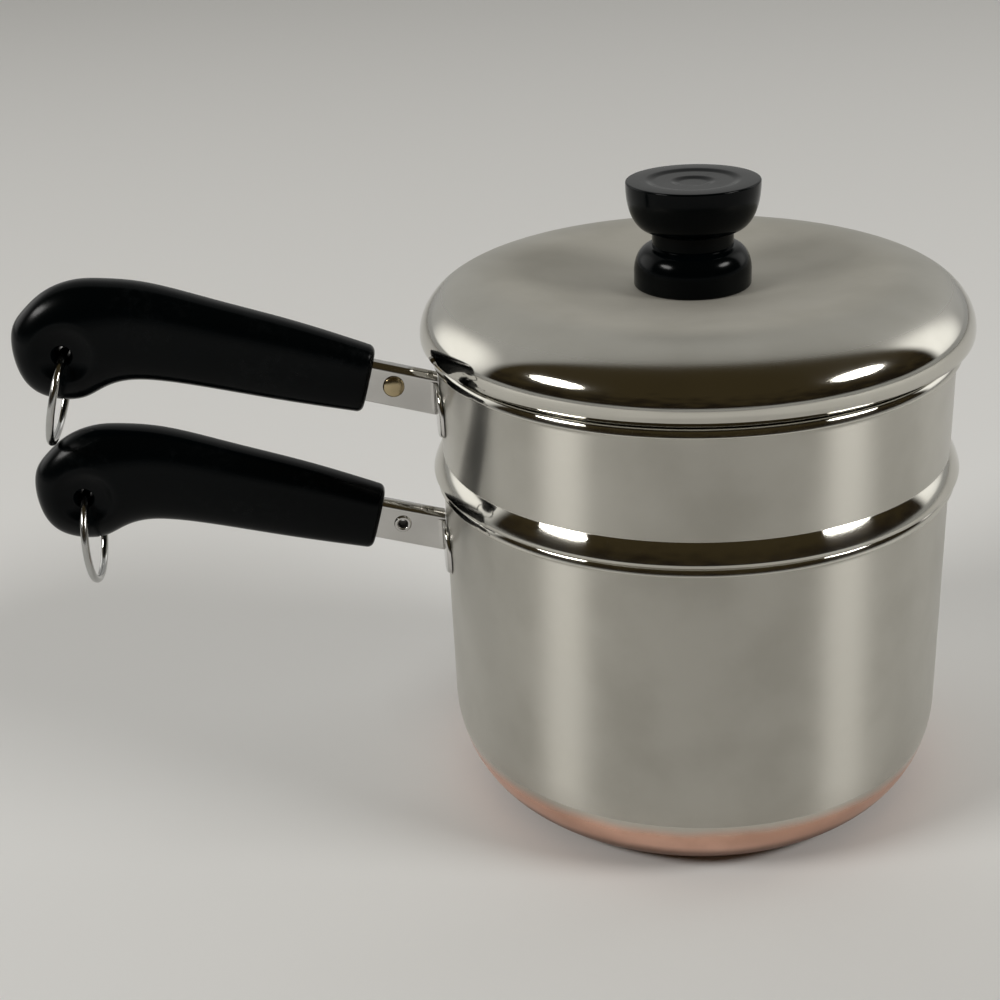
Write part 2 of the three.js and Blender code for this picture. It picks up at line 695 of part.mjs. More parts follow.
const cookware = new THREE.Group();
cookware.add(
  piece("pan_body", panBody(), steel),
  piece("pan_copper_base", copperBase(), copper),
  piece("steamer_body", steamerBody(), steel),
  piece("lid_shell", lidShell(), steel),
  piece("knob_base", knobBase(), phenolic),
  piece("knob_cap", knobCap(), phenolic),
  piece("knob_insert", knobInsert(), brass),
  piece("knob_washer", knobWasher(), steel),
  piece("knob_screw", knobScrew(), steel),
  panHandle,
  steamerHandle,
  hungRing("pan_hang_ring", panHandle, 0),
  hungRing("steamer_hang_ring", steamerHandle, leanOnGrip(steamerHandle, panHandle)),
);

export default cookware;
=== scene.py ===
import json
import math

import bpy
import numpy as np
from mathutils import Matrix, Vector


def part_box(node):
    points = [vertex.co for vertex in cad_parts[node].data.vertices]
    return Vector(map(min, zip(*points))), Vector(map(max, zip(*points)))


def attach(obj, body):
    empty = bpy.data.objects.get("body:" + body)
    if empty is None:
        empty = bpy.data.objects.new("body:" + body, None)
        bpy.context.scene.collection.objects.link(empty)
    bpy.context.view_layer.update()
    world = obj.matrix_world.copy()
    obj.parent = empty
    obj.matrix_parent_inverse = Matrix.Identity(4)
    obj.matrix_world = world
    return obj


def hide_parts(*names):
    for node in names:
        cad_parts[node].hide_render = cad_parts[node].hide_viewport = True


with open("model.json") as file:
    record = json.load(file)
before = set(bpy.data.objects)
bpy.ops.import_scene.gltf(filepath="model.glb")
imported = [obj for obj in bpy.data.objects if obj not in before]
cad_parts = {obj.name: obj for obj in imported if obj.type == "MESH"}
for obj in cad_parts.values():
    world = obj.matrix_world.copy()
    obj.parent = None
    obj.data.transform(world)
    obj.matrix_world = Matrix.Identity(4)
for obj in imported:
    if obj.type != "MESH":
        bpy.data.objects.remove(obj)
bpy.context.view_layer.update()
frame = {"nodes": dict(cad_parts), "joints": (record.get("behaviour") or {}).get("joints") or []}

# Saucepan: stainless sheet drawn on a press into a deep pan with a round corner. Its rim is rolled outwards
# into a bead, and the wall is polished on a spindle until it mirrors what stands round it.
MM = 0.001
TURNS = 192
WALL_STEPS = 24
MERGE_DIGITS = 7
SHARP_ANGLE = math.radians(20)
SHEET = 1.2 * MM
SHEET_EDGE = 0.5 * MM
PAN_RADIUS = 88 * MM
CORNER_REACH = 23 * MM
CORNER_RISE = 33 * MM
COPPER_DROP = 9.5 * MM
BEAD_HEIGHT = 3 * MM
BEAD_PROUD = 1.9 * MM
BEAD_EDGE = 0.35 * MM
BEAD_LEAN = 25
STEEL_COLOUR = (0.56, 0.545, 0.495, 1)
STEEL_DULL = (0.51, 0.495, 0.445, 1)
WALL_GLOSS = (0.28, 0.31)
WALL_SMEAR = 1.0
SMEAR_TURN = 0.25
WALL_LINES = 5200.0  # noise cells to a metre, across the polishing lines
LINE_CELLS = 6.0  # noise cells to a radian, along them
LINE_DEPTH = 0.004 * MM
HAZE_SCALE = 34.0
HAZE_RANGE = (0.35, 0.7)
SWELL_SCALE = 14.0
SWELL_DEPTH = 0.25 * MM
MIRROR_ROUGHNESS = 0.07
MIRROR_FADE = 0.3 * MM
MIX_SOCKETS = {"RGBA": (6, 2), "FLOAT": (2, 0)}  # a Mix node's first value and its result, by number
pan_foot, pan_rim = (corner.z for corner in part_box("pan_body"))
copper_back = pan_foot
copper_end = math.asin(COPPER_DROP / CORNER_RISE)
bead_foot = pan_rim - BEAD_HEIGHT


def arc(centre, reach, rise, start, stop, steps=16):
    """Part of an ellipse as (radius, height): its centre, plus reach times the cosine and rise times the sine
    of an angle that goes evenly from start to stop, in degrees up from the outward direction."""
    angle = np.radians(np.linspace(start, stop, steps + 1))
    return np.column_stack([centre[0] + reach * np.cos(angle), centre[1] + rise * np.sin(angle)])


def base_corner(start, stop, inset, steps=48):
    """The pan's corner as (radius, height): a quarter ellipse of the corner's reach and rise, between two
    angles below the level of its centre, set in along its normal."""
    angle = np.linspace(start, stop, steps + 1)
    out, down = np.cos(angle), np.sin(angle)
    steep = np.hypot(out / CORNER_REACH, down / CORNER_RISE)
    radius = PAN_RADIUS - CORNER_REACH * (1 - out) - inset * out / CORNER_REACH / steep
    height = CORNER_RISE * (1 - down) + inset * down / CORNER_RISE / steep
    return np.column_stack([radius, height])


def rolled_rim(radius, top):
    """Profile over a rolled rim, from the outside of the wall to its inside: a small round under the bead,
    part of an ellipse up to the rim's top, then a level top that rounds over into the sheet's inner face."""
    lean = math.radians(BEAD_LEAN)
    rise = (BEAD_HEIGHT - BEAD_EDGE) / (1 - math.sin(lean))
    edge = (radius + BEAD_PROUD - BEAD_EDGE, top - BEAD_HEIGHT + BEAD_EDGE)
    under = arc(edge, BEAD_EDGE, BEAD_EDGE, -90, 0, 8)
    bead = arc((radius, top - rise), BEAD_PROUD / math.cos(lean), rise, BEAD_LEAN, 90, 24)
    inside = arc((radius - SHEET + SHEET_EDGE, top - SHEET_EDGE), SHEET_EDGE, SHEET_EDGE, 90, 180, 6)
    return np.concatenate([[[radius, top - BEAD_HEIGHT]], under, bead, inside])


def turned(profile, turns=TURNS, closed=False):
    """Grid of a surface of revolution: each (radius, height) of the profile goes round the Z axis, at x =
    radius times cosine and y = radius times sine. The last angle falls on the first, and so does the last
    point of a closed profile."""
    profile = np.asarray(profile)
    if closed:
        profile = np.concatenate([profile, profile[:1]])
    angle = np.linspace(0, 2 * np.pi, turns + 1)
    radius, height = profile[:, :1], profile[:, 1:]
    return np.stack([radius * np.cos(angle), radius * np.sin(angle), height + 0 * angle], axis=-1)


def skin(name, *grids):
    """A mesh object of one closed shell for each grid of points, one face for each cell. Points that coincide
    are merged, which closes seams and poles, a cell with a doubled corner is a triangle, and the sign of the
    shell's volume, a sum of triple products, turns its faces outwards."""
    corners, faces, count = [], [], 0
    for grid in grids:
        flat = grid.reshape(-1, 3)
        same = np.unique(np.round(flat, MERGE_DIGITS), axis=0, return_index=True, return_inverse=True)
        points, index = flat[same[1]], same[2].reshape(grid.shape[:2])
        cells = np.stack([index[:-1, :-1], index[:-1, 1:], index[1:, 1:], index[1:, :-1]], axis=-1)
        cells = cells.reshape(-1, 4)
        a, b, c, d = np.moveaxis(points[cells], 1, 0)
        if np.sum(a * np.cross(b, c)) + np.sum(a * np.cross(c, d)) < 0:
            cells = cells[:, ::-1]
        doubled = cells == np.roll(cells, -1, axis=1)
        spare = doubled.sum(axis=1)
        faces += (cells[spare == 0] + count).tolist()
        faces += (cells[spare == 1][~doubled[spare == 1]].reshape(-1, 3) + count).tolist()
        corners.append(points)
        count += len(points)
    mesh = bpy.data.meshes.new(name)
    mesh.from_pydata(np.concatenate(corners), [], faces)
    mesh.shade_smooth()
    mesh.set_sharp_from_angle(angle=SHARP_ANGLE)
    piece = bpy.data.objects.new(name, mesh)
    bpy.context.scene.collection.objects.link(piece)
    return piece


def put(tree, kind, sockets, **options):
    """Adds a node, sets its options, and links or sets its inputs by their names or numbers."""
    node = tree.nodes.new(kind)
    for option, value in options.items():
        setattr(node, option, value)
    for socket, value in sockets.items():
        if isinstance(value, bpy.types.NodeSocket):
            tree.links.new(value, node.inputs[socket])
        else:
            node.inputs[socket].default_value = value
    return node


def object_place(tree):
    """The place of a point on its piece, as Object coordinates."""
    return put(tree, "ShaderNodeTexCoord", {}).outputs["Object"]


def noise(tree, place, scale, detail):
    """Cloudy values about a half, of that many noise cells to a unit of place, with finer detail in them."""
    return put(tree, "ShaderNodeTexNoise", {"Vector": place, "Scale": scale, "Detail": detail}).outputs["Fac"]


def calculate(tree, operation, first, second):
    """One value worked out from two by an operation of the Math node."""
    return put(tree, "ShaderNodeMath", {0: first, 1: second}, operation=operation).outputs[0]


def apart(tree, place, centre=(0, 0, 0), axes=(1, 1, 0)):
    """How far a place is from a centre, measured along some axes only: about Z, that is the radius."""
    kept = put(tree, "ShaderNodeVectorMath", {0: place, 1: axes}, operation="MULTIPLY").outputs[0]
    return put(tree, "ShaderNodeVectorMath", {0: kept, 1: centre}, operation="DISTANCE").outputs["Value"]


def ramp(tree, value, clear, full, ease="SMOOTHSTEP"):
    """The share of the way that a value has gone from where an effect is clear to where it is full."""
    ends = {"Value": value, "From Min": clear, "From Max": full}
    return put(tree, "ShaderNodeMapRange", ends, interpolation_type=ease).outputs["Result"]


def between(tree, share, low, high):
    """The value at a share of the way from low to high."""
    return put(tree, "ShaderNodeMapRange", {"Value": share, "To Min": low, "To Max": high}).outputs["Result"]


def mixed(tree, share, under, over, kind="RGBA"):
    """One colour, or one plain value, mixed over another by a share."""
    first, result = MIX_SOCKETS[kind]
    mix = put(tree, "ShaderNodeMix", {"Factor": share, first: under, first + 1: over}, data_type=kind)
    return mix.outputs[result]


def effect(name, inputs, outputs):
    """An empty shader node group with named inputs of given kinds and float outputs, and its end sockets."""
    group = bpy.data.node_groups.new(name, "ShaderNodeTree")
    for socket, kind in inputs.items():
        group.interface.new_socket(socket, in_out="INPUT", socket_type=kind)
    for socket in outputs:
        group.interface.new_socket(socket, in_out="OUTPUT", socket_type="NodeSocketFloat")
    return group, group.nodes.new("NodeGroupInput").outputs, group.nodes.new("NodeGroupOutput").inputs


def spindle_polish():
    """Node group for metal polished while it turns on the Z axis. Lines is noise stretched round the axis,
    sampled at (angle, radius, height) with the last two times Fineness; Haze and Swell are slower noise in
    space."""
    group, given, result = effect(
        "spindle_polish",
        {"Position": "NodeSocketVector", "Fineness": "NodeSocketFloat"},
        ["Lines", "Haze", "Swell"],
    )
    place, fineness = given["Position"], given["Fineness"]
    parts = put(group, "ShaderNodeSeparateXYZ", {0: place}).outputs
    turn = calculate(group, "MULTIPLY", calculate(group, "ARCTAN2", parts["Y"], parts["X"]), LINE_CELLS)
    across = calculate(group, "MULTIPLY", apart(group, place), fineness)
    rise = calculate(group, "MULTIPLY", parts["Z"], fineness)
    wound = put(group, "ShaderNodeCombineXYZ", {0: turn, 1: across, 2: rise}).outputs[0]
    group.links.new(noise(group, wound, scale=1.0, detail=3.0), result["Lines"])
    group.links.new(noise(group, place, HAZE_SCALE, detail=5.0), result["Haze"])
    group.links.new(noise(group, place, SWELL_SCALE, detail=1.0), result["Swell"])
    return group


polish = spindle_polish()


def metal(name, colour, dull, gloss, lines=WALL_LINES, smear=0.0):
    """A polished metal: haze mixes its clean and dull colours and moves its roughness between the two values
    of gloss; the swell and the lines of the polish are two bumps. Smear is the share by which reflections are
    drawn out across the lines."""
    finish = bpy.data.materials.new(name)
    finish.use_nodes = True
    tree = finish.node_tree
    shader = tree.nodes["Principled BSDF"]
    shader.inputs["Metallic"].default_value = 1.0
    shader.inputs["Anisotropic"].default_value = smear
    shader.inputs["Anisotropic Rotation"].default_value = SMEAR_TURN
    given = {"Position": object_place(tree), "Fineness": lines}
    marks = put(tree, "ShaderNodeGroup", given, node_tree=polish).outputs
    haze = ramp(tree, marks["Haze"], *HAZE_RANGE)
    swell = put(tree, "ShaderNodeBump", {"Height": marks["Swell"], "Distance": SWELL_DEPTH}).outputs["Normal"]
    grooves = {"Height": marks["Lines"], "Distance": LINE_DEPTH, "Normal": swell}
    tree.links.new(mixed(tree, haze, colour, dull), shader.inputs["Base Color"])
    tree.links.new(between(tree, haze, *gloss), shader.inputs["Roughness"])
    tree.links.new(put(tree, "ShaderNodeBump", grooves).outputs["Normal"], shader.inputs["Normal"])
    return finish


def overlay(finish, socket, share, value):
    """Mixes a constant over what already feeds a socket of a finish, by a share that varies over it."""
    tree = finish.node_tree
    target = tree.nodes["Principled BSDF"].inputs[socket]
    kind = "RGBA" if target.type == "RGBA" else "FLOAT"
    tree.links.new(mixed(tree, share, target.links[0].from_socket, value, kind), target)


def mirror_band(finish, clear, full):
    """Lays a mirror polish over a finish: a short step of the height, from where it is clear to full."""
    tree = finish.node_tree
    height = put(tree, "ShaderNodeSeparateXYZ", {0: object_place(tree)}).outputs["Z"]
    overlay(finish, "Roughness", ramp(tree, height, clear, full, ease="LINEAR"), MIRROR_ROUGHNESS)


def fit(piece, finish, body, slot, *nodes):
    """Gives a piece its finish and its body, and hides the nodes that it stands for. The slot argument is not
    used.
    """
    piece.data.materials.append(finish)
    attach(piece, body)
    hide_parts(*nodes)


pan_profile = np.concatenate([
    [[0, pan_foot]],
    base_corner(math.pi / 2, copper_end, copper_back),
    base_corner(copper_end, 0, 0, WALL_STEPS),
    rolled_rim(PAN_RADIUS, pan_rim),
    base_corner(0, copper_end, SHEET + copper_back * np.linspace(0, 1, WALL_STEPS + 1), WALL_STEPS),
    base_corner(copper_end, math.pi / 2, SHEET + copper_back),
    [[0, pan_foot + SHEET]],
])
wall_steel = metal("wall_steel", STEEL_COLOUR, STEEL_DULL, WALL_GLOSS, smear=WALL_SMEAR)
mirror_band(wall_steel, bead_foot - MIRROR_FADE, bead_foot + MIRROR_FADE)
fit(skin("saucepan_shell", turned(pan_profile)), wall_steel, "saucepan", "stainless_steel", "pan_body")

# Copper base: a copper layer plated over the underside and the corner of the pan, to spread the heat. It is
# thin and satin, dulled in patches, with painted shade darkening its foot, and its upper edge fades into the
# steel.
COPPER_THICKNESS = 0.5 * MM
COPPER_COLOUR = (0.80, 0.50, 0.38, 1)
COPPER_DULL = (0.62, 0.37, 0.27, 1)
COPPER_GLOSS = (0.28, 0.36)
COPPER_LINES = 3800.0
# painted shade on the copper's foot: a dark colour and a rougher finish, full below the lower of its two
# heights
FOOT_SHADE_COLOUR = (0.25, 0.13, 0.085, 1)
FOOT_SHADE_ROUGHNESS = 0.40
FOOT_SHADE_TOP = 13.0 * MM
FOOT_SHADE_FULL = 7.5 * MM
FADE_ROUGHNESS = 0.10
FADE_FOOT = 17.5 * MM
WANDER_SCALE = 60.0
WANDER_RISE = 1.5 * MM
copper_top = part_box("pan_copper_base")[1].z
copper_profile = np.concatenate([
    [[0, 0]],
    base_corner(math.pi / 2, copper_end, 0),
    base_corner(copper_end, math.pi / 2, COPPER_THICKNESS),
    [[0, COPPER_THICKNESS]],
])


def faded_copper():
    """Satin copper that turns to the pan's steel between the foot of the fade and the top of the layer, and
    is darkened at its foot with painted shade: two smooth steps of the height, moved up and down by noise."""
    finish = metal("satin_copper", COPPER_COLOUR, COPPER_DULL, COPPER_GLOSS, COPPER_LINES)
    tree = finish.node_tree
    place = object_place(tree)
    height = put(tree, "ShaderNodeSeparateXYZ", {0: place}).outputs["Z"]
    wander = between(tree, noise(tree, place, WANDER_SCALE, detail=4.0), -WANDER_RISE, WANDER_RISE)
    height = calculate(tree, "ADD", height, wander)
    # the first step lays painted shade over the copper's foot, the second fades the copper into steel
    for colour, roughness, clear, full in (
        (FOOT_SHADE_COLOUR, FOOT_SHADE_ROUGHNESS, FOOT_SHADE_TOP, FOOT_SHADE_FULL),
        (STEEL_COLOUR, FADE_ROUGHNESS, FADE_FOOT, copper_top),
    ):
        share = ramp(tree, height, clear, full)
        overlay(finish, "Base Color", share, colour)
        overlay(finish, "Roughness", share, roughness)
    return finish


fit(skin("copper_cladding", turned(copper_profile)), faded_copper(), "saucepan", "copper", "pan_copper_base")

# Steamer insert: a second steel pressing that hangs in the pan by its shoulder, which flares over the pan's
# rim. The floor is pierced with round holes, so that steam comes up from the water below.
STEAMER_RADIUS = 87.6 * MM
INSERT_RADIUS = 84 * MM
INSERT_CORNER = 12 * MM
SHOULDER_HEIGHT = 7.7 * MM
CREASE_SLOPE = 36
LIP_SLOPE = 18
LIP_RADIUS = 91.0 * MM
LIP_ROUND = 1.1 * MM
REST_GAP = 0.3 * MM
VENT_RADIUS = 3 * MM
VENT_PITCH = 17 * MM
VENT_CIRCLES = 3
VENTS_MORE = 6  # how many more holes a circle has than the one inside it
VENT_TURNS = 28
insert_floor, steamer_rim = (corner.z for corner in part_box("steamer_body"))
shoulder_seat = pan_rim + REST_GAP
crease = shoulder_seat + SHOULDER_HEIGHT
ledge = shoulder_seat + SHEET
lip_centre = (LIP_RADIUS - LIP_ROUND, shoulder_seat + LIP_ROUND)
floor_turn = (INSERT_RADIUS - INSERT_CORNER, insert_floor + INSERT_CORNER)
inner_corner = INSERT_CORNER - SHEET


def shoulder_bow(steps=16):
    """The shoulder's outside as (radius, height), from the lip up to the crease: the slope from upright grows
    evenly from its value at the lip to the one at the crease, scaled to meet both ends."""
    lean = math.radians(LIP_SLOPE)
    start = (lip_centre[0] + LIP_ROUND * math.cos(lean), lip_centre[1] + LIP_ROUND * math.sin(lean))
    share = np.linspace(0, 1, steps + 1)
    slope = np.radians(LIP_SLOPE + (CREASE_SLOPE - LIP_SLOPE) * share)
    drift = np.concatenate([[0], np.cumsum(np.tan((slope[1:] + slope[:-1]) / 2))])
    radius = start[0] + (STEAMER_RADIUS - start[0]) * drift / drift[-1]
    return np.column_stack([radius, start[1] + (crease - start[1]) * share])


insert_profile = np.concatenate([
    [[0, insert_floor]],
    arc(floor_turn, INSERT_CORNER, INSERT_CORNER, -90, 0, 20),
    [[INSERT_RADIUS, shoulder_seat]],
    arc(lip_centre, LIP_ROUND, LIP_ROUND, -90, LIP_SLOPE, 12),
    shoulder_bow(),
    rolled_rim(STEAMER_RADIUS, steamer_rim),
    [[STEAMER_RADIUS - SHEET, crease], [lip_centre[0], ledge]],
    arc((INSERT_RADIUS - SHEET + SHEET_EDGE, ledge - SHEET_EDGE), SHEET_EDGE, SHEET_EDGE, 90, 180, 6),
    arc(floor_turn, inner_corner, inner_corner, 0, -90, 20),
    [[0, insert_floor + SHEET]],
])


def cut(piece, cutter):
    """Takes the cutter's shape out of a piece for good, and deletes the cutter."""
    step = piece.modifiers.new("cut", "BOOLEAN")
    step.object = cutter
    step.solver = "EXACT"
    carved = bpy.data.meshes.new_from_object(piece.evaluated_get(bpy.context.evaluated_depsgraph_get()))
    piece.modifiers.clear()
    piece.data = carved
    bpy.data.objects.remove(cutter)
    carved.shade_smooth()
    carved.set_sharp_from_angle(angle=SHARP_ANGLE)


def plug(radius, low, high, turns):
    """Grid of a cylinder about the Z axis between two heights, closed at both ends."""
    return turned([[0, low], [radius, low], [radius, high], [0, high]], turns)


def vent_plugs():
    """One short cylinder for each hole of the floor: one in the middle, then circles at an even pitch, each
    with the same number of holes more than the last."""
    vent = plug(VENT_RADIUS, insert_floor - SHEET, insert_floor + 2 * SHEET, VENT_TURNS)
    for circle in range(VENT_CIRCLES + 1):
        angle = np.linspace(0, 2 * np.pi, max(1, VENTS_MORE * circle), endpoint=False)
        places = circle * VENT_PITCH * np.column_stack([np.cos(angle), np.sin(angle), 0 * angle])
        yield from vent + places[:, None, None, :]


def shoulder_steel():
    """The wall's steel, with a mirror polish on the shoulder below the crease and on the bead of the rim."""
    finish = metal("shoulder_steel", STEEL_COLOUR, STEEL_DULL, WALL_GLOSS, smear=WALL_SMEAR)
    mirror_band(finish, crease + MIRROR_FADE, crease - MIRROR_FADE)
    rim_foot = steamer_rim - BEAD_HEIGHT
    mirror_band(finish, rim_foot - MIRROR_FADE, rim_foot + MIRROR_FADE)
    return finish


insert_shell = skin("insert_shell", turned(insert_profile))
cut(insert_shell, skin("vent_plugs", *vent_plugs()))
fit(insert_shell, shoulder_steel(), "steamer", "stainless_steel", "steamer_body")

# Lid: a domed steel pressing with its edge rolled under, and a flange inside that keeps it on the insert. The
# middle is dished a little, so that the knob has a level seat.
LID_RADIUS = 93 * MM
LID_REST = 88.2 * MM
LID_SHOULDER = 23 * MM
LID_DISH = 4.8 * MM
LID_EDGE_RISE = 4.7 * MM
LID_CURL = -20
LID_FLANGE_DEPTH = 8 * MM
LID_FLANGE_RADIUS = 85.6 * MM
LID_GLOSS = (0.05, 0.09)
KNOB_SEAT_RADIUS = 21.2 * MM
SCREW_HOLE = 2.8 * MM
SATIN_ZONES = (
    # where the finish begins, where it is full, roughness
    (91 * MM, 79 * MM, 0.46),
    (80 * MM, 58 * MM, 0.80),
)
flange_foot, lid_crown = (corner.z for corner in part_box("lid_shell"))
flange_inside = LID_FLANGE_RADIUS - SHEET
lid_seat = flange_foot + LID_FLANGE_DEPTH
lid_widest = lid_seat + LID_EDGE_RISE
lid_tuck = LID_RADIUS - LID_REST
crown_radius = LID_RADIUS - LID_SHOULDER
dome_rise = lid_crown - lid_widest
knob_seat = lid_crown - LID_DISH


def lid_dish(drop, steps=40):
    """The dished middle as (radius, height), from the crown in to the knob's seat: half a cosine wave."""
    share = np.linspace(1, 0, steps + 1)
    radius = KNOB_SEAT_RADIUS + (crown_radius - KNOB_SEAT_RADIUS) * share
    return np.column_stack([radius, knob_seat - drop + LID_DISH * (1 - np.cos(np.pi * share)) / 2])


lid_profile = np.concatenate([
    arc((flange_inside + SHEET / 2, flange_foot + SHEET / 2), SHEET / 2, SHEET / 2, -180, 0, 10),
    [[LID_FLANGE_RADIUS, lid_seat]],
    [[LID_REST, lid_seat]],
    arc((LID_REST, lid_widest), lid_tuck, LID_EDGE_RISE, LID_CURL, 0, 10),
    arc((crown_radius, lid_widest), LID_SHOULDER, dome_rise, 0, 90, 48),
    lid_dish(0),
    [[SCREW_HOLE, knob_seat], [SCREW_HOLE, knob_seat - SHEET]],
    lid_dish(SHEET)[::-1],
    arc((crown_radius, lid_widest), LID_SHOULDER - SHEET, dome_rise - SHEET, 90, 0, 48),
    arc((LID_REST, lid_widest), lid_tuck - SHEET, LID_EDGE_RISE - SHEET, 0, LID_CURL, 6),
    [[LID_REST, lid_seat + SHEET]],
    [[flange_inside, lid_seat + SHEET]],
])


def crown_steel():
    """The lid's steel, a mirror on the shoulder that turns satin towards the knob: two smooth steps of the
    radius."""
    finish = metal("lid_steel", STEEL_COLOUR, STEEL_DULL, LID_GLOSS)
    tree = finish.node_tree
    radius = apart(tree, object_place(tree))
    for clear, full, roughness in SATIN_ZONES:
        overlay(finish, "Roughness", ramp(tree, radius, clear, full), roughness)
    return finish


lid_pressing = skin("lid_pressing", turned(lid_profile, closed=True))
fit(lid_pressing, crown_steel(), "lid", "stainless_steel", "lid_shell")

# Knob: two black phenolic mouldings, a skirt that stands on the lid and a cup on a neck above it. The cup's
# top is turned with a broad rim, a lower ring and a dimple.
SKIRT_RADIUS = 19.7 * MM
SKIRT_SIDE = 4.5 * MM
SKIRT_FULLNESS = 2.1
FOOT_ROUND = 1.0 * MM
NECK_RADIUS = 13.6 * MM
NECK_HEIGHT = 4.8 * MM
NECK_ROUND = 0.8 * MM
CUP_RADIUS = 22.3 * MM
CUP_EDGE = 0.6 * MM
CUP_FULLNESS = 2.25
CUP_START = 5
RIM_WIDTH = 7.8 * MM
DIMPLE_RADIUS = 6 * MM
RING_DEPTH = 0.6 * MM
STEP_WIDTH = 3.4 * MM
JOINT_GAP = 0.02 * MM
PHENOLIC_COLOUR = (0.0006, 0.0013, 0.0016, 1)
PHENOLIC_WORN = (0.0020, 0.0028, 0.0032, 1)
GRAIN_SCALE = 900.0
PATCH_SCALE = 45.0
FLECK_SCALE = 420.0
WEAR_RANGE = (0.27, 0.42)
KNOB_SHINE = 0.08
KNOB_GLOSS = (0.15, 0.24)
KNOB_GRAIN = 0.003 * MM
skirt_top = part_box("knob_base")[1].z
knob_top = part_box("knob_cap")[1].z
sleeve_foot, sleeve_top = (corner.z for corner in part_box("knob_insert"))
sleeve_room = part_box("knob_insert")[1].x + REST_GAP
skirt_foot = knob_seat + JOINT_GAP
skirt_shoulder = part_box("knob_base")[0].z + SKIRT_SIDE
skirt_flare = SKIRT_RADIUS - NECK_RADIUS
neck_foot = skirt_top + JOINT_GAP
cup_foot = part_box("knob_cap")[0].z + NECK_HEIGHT
cup_flare = CUP_RADIUS - NECK_RADIUS
cup_shoulder = knob_top - CUP_EDGE
cup_rise = cup_shoulder - cup_foot
rim_edge = CUP_RADIUS - RIM_WIDTH


def step_down(radius, top):
    """Profile of a soft step in the cup's top, from its upper level outside to its lower level inside: half a
    cosine wave across the step's width."""
    share = np.linspace(0, 1, 17)
    level = top - RING_DEPTH * (1 - np.cos(np.pi * share)) / 2
    return np.column_stack([radius + STEP_WIDTH * (0.5 - share), level])


def fuller(wave, fullness):
    """For a superellipse: a sine or cosine, its sign kept and its size raised to two over the fullness."""
    return np.sign(wave) * np.abs(wave) ** (2 / fullness)


def full_side(centre, reach, rise, start, stop, fullness, steps=32):
    """Part of a superellipse as (radius, height): its centre, plus reach times the fuller cosine and rise
    times the fuller sine of an angle, in degrees up from the outward direction."""
    angle = np.radians(np.linspace(start, stop, steps + 1))
    out, up = fuller(np.cos(angle), fullness), fuller(np.sin(angle), fullness)
    return np.column_stack([centre[0] + reach * out, centre[1] + rise * up])


def moulding_grain():
    """Node group for moulded phenolic. Grain is fine noise, and Wear is two noises multiplied, which leaves
    scattered rubbed patches."""
    group, given, result = effect("moulding_grain", {"Position": "NodeSocketVector"}, ["Grain", "Wear"])
    place = given["Position"]
    patches = noise(group, place, PATCH_SCALE, detail=3.0)
    flecks = noise(group, place, FLECK_SCALE, detail=4.0)
    rubbed = calculate(group, "MULTIPLY", patches, flecks)
    group.links.new(noise(group, place, GRAIN_SCALE, detail=2.0), result["Grain"])
    group.links.new(ramp(group, rubbed, *WEAR_RANGE, ease="LINEAR"), result["Wear"])
    return group


grain = moulding_grain()


def phenolic(name, shine, gloss, grain_depth):
    """Black phenolic: wear mixes the clean and the worn colour and moves the roughness between the two values
    of gloss, and the grain is a bump of its depth in metres."""
    finish = bpy.data.materials.new(name)
    finish.use_nodes = True
    tree = finish.node_tree
    shader = tree.nodes["Principled BSDF"]
    shader.inputs["Specular IOR Level"].default_value = shine
    moulded = put(tree, "ShaderNodeGroup", {"Position": object_place(tree)}, node_tree=grain).outputs
    bump = put(tree, "ShaderNodeBump", {"Height": moulded["Grain"], "Distance": grain_depth})
    tint = mixed(tree, moulded["Wear"], PHENOLIC_COLOUR, PHENOLIC_WORN)
    tree.links.new(tint, shader.inputs["Base Color"])
    tree.links.new(between(tree, moulded["Wear"], *gloss), shader.inputs["Roughness"])
    tree.links.new(bump.outputs["Normal"], shader.inputs["Normal"])
    return finish


skirt_profile = np.concatenate([
    [[SCREW_HOLE, skirt_foot]],
    arc((SKIRT_RADIUS - FOOT_ROUND, skirt_foot + FOOT_ROUND), FOOT_ROUND, FOOT_ROUND, -90, 0, 8),
    full_side((NECK_RADIUS, skirt_shoulder), skirt_flare, skirt_top - skirt_shoulder, 0, 90, SKIRT_FULLNESS),
    [[SCREW_HOLE, skirt_top]],
])
cup_profile = np.concatenate([
    [[0, sleeve_top + REST_GAP], [sleeve_room, sleeve_top + REST_GAP], [sleeve_room, sleeve_foot - REST_GAP]],
    [[SCREW_HOLE, sleeve_foot - REST_GAP], [SCREW_HOLE, neck_foot], [NECK_RADIUS, neck_foot]],
    arc((NECK_RADIUS + NECK_ROUND, cup_foot - NECK_ROUND), NECK_ROUND, NECK_ROUND, 180, 90 + CUP_START, 8),
    full_side((NECK_RADIUS, cup_shoulder), cup_flare, cup_rise, CUP_START - 90, 0, CUP_FULLNESS),
    arc((CUP_RADIUS - CUP_EDGE, knob_top - CUP_EDGE), CUP_EDGE, CUP_EDGE, 0, 90, 8),
    step_down(rim_edge, knob_top),
    step_down(DIMPLE_RADIUS, knob_top - RING_DEPTH),
    [[0, knob_top - 2 * RING_DEPTH]],
])
knob_black = phenolic("knob_black", KNOB_SHINE, KNOB_GLOSS, KNOB_GRAIN)
fit(skin("knob_skirt", turned(skirt_profile, closed=True)), knob_black, "lid", "black_phenolic", "knob_base")
fit(skin("knob_cup", turned(cup_profile)), knob_black, "lid", "black_phenolic", "knob_cap")

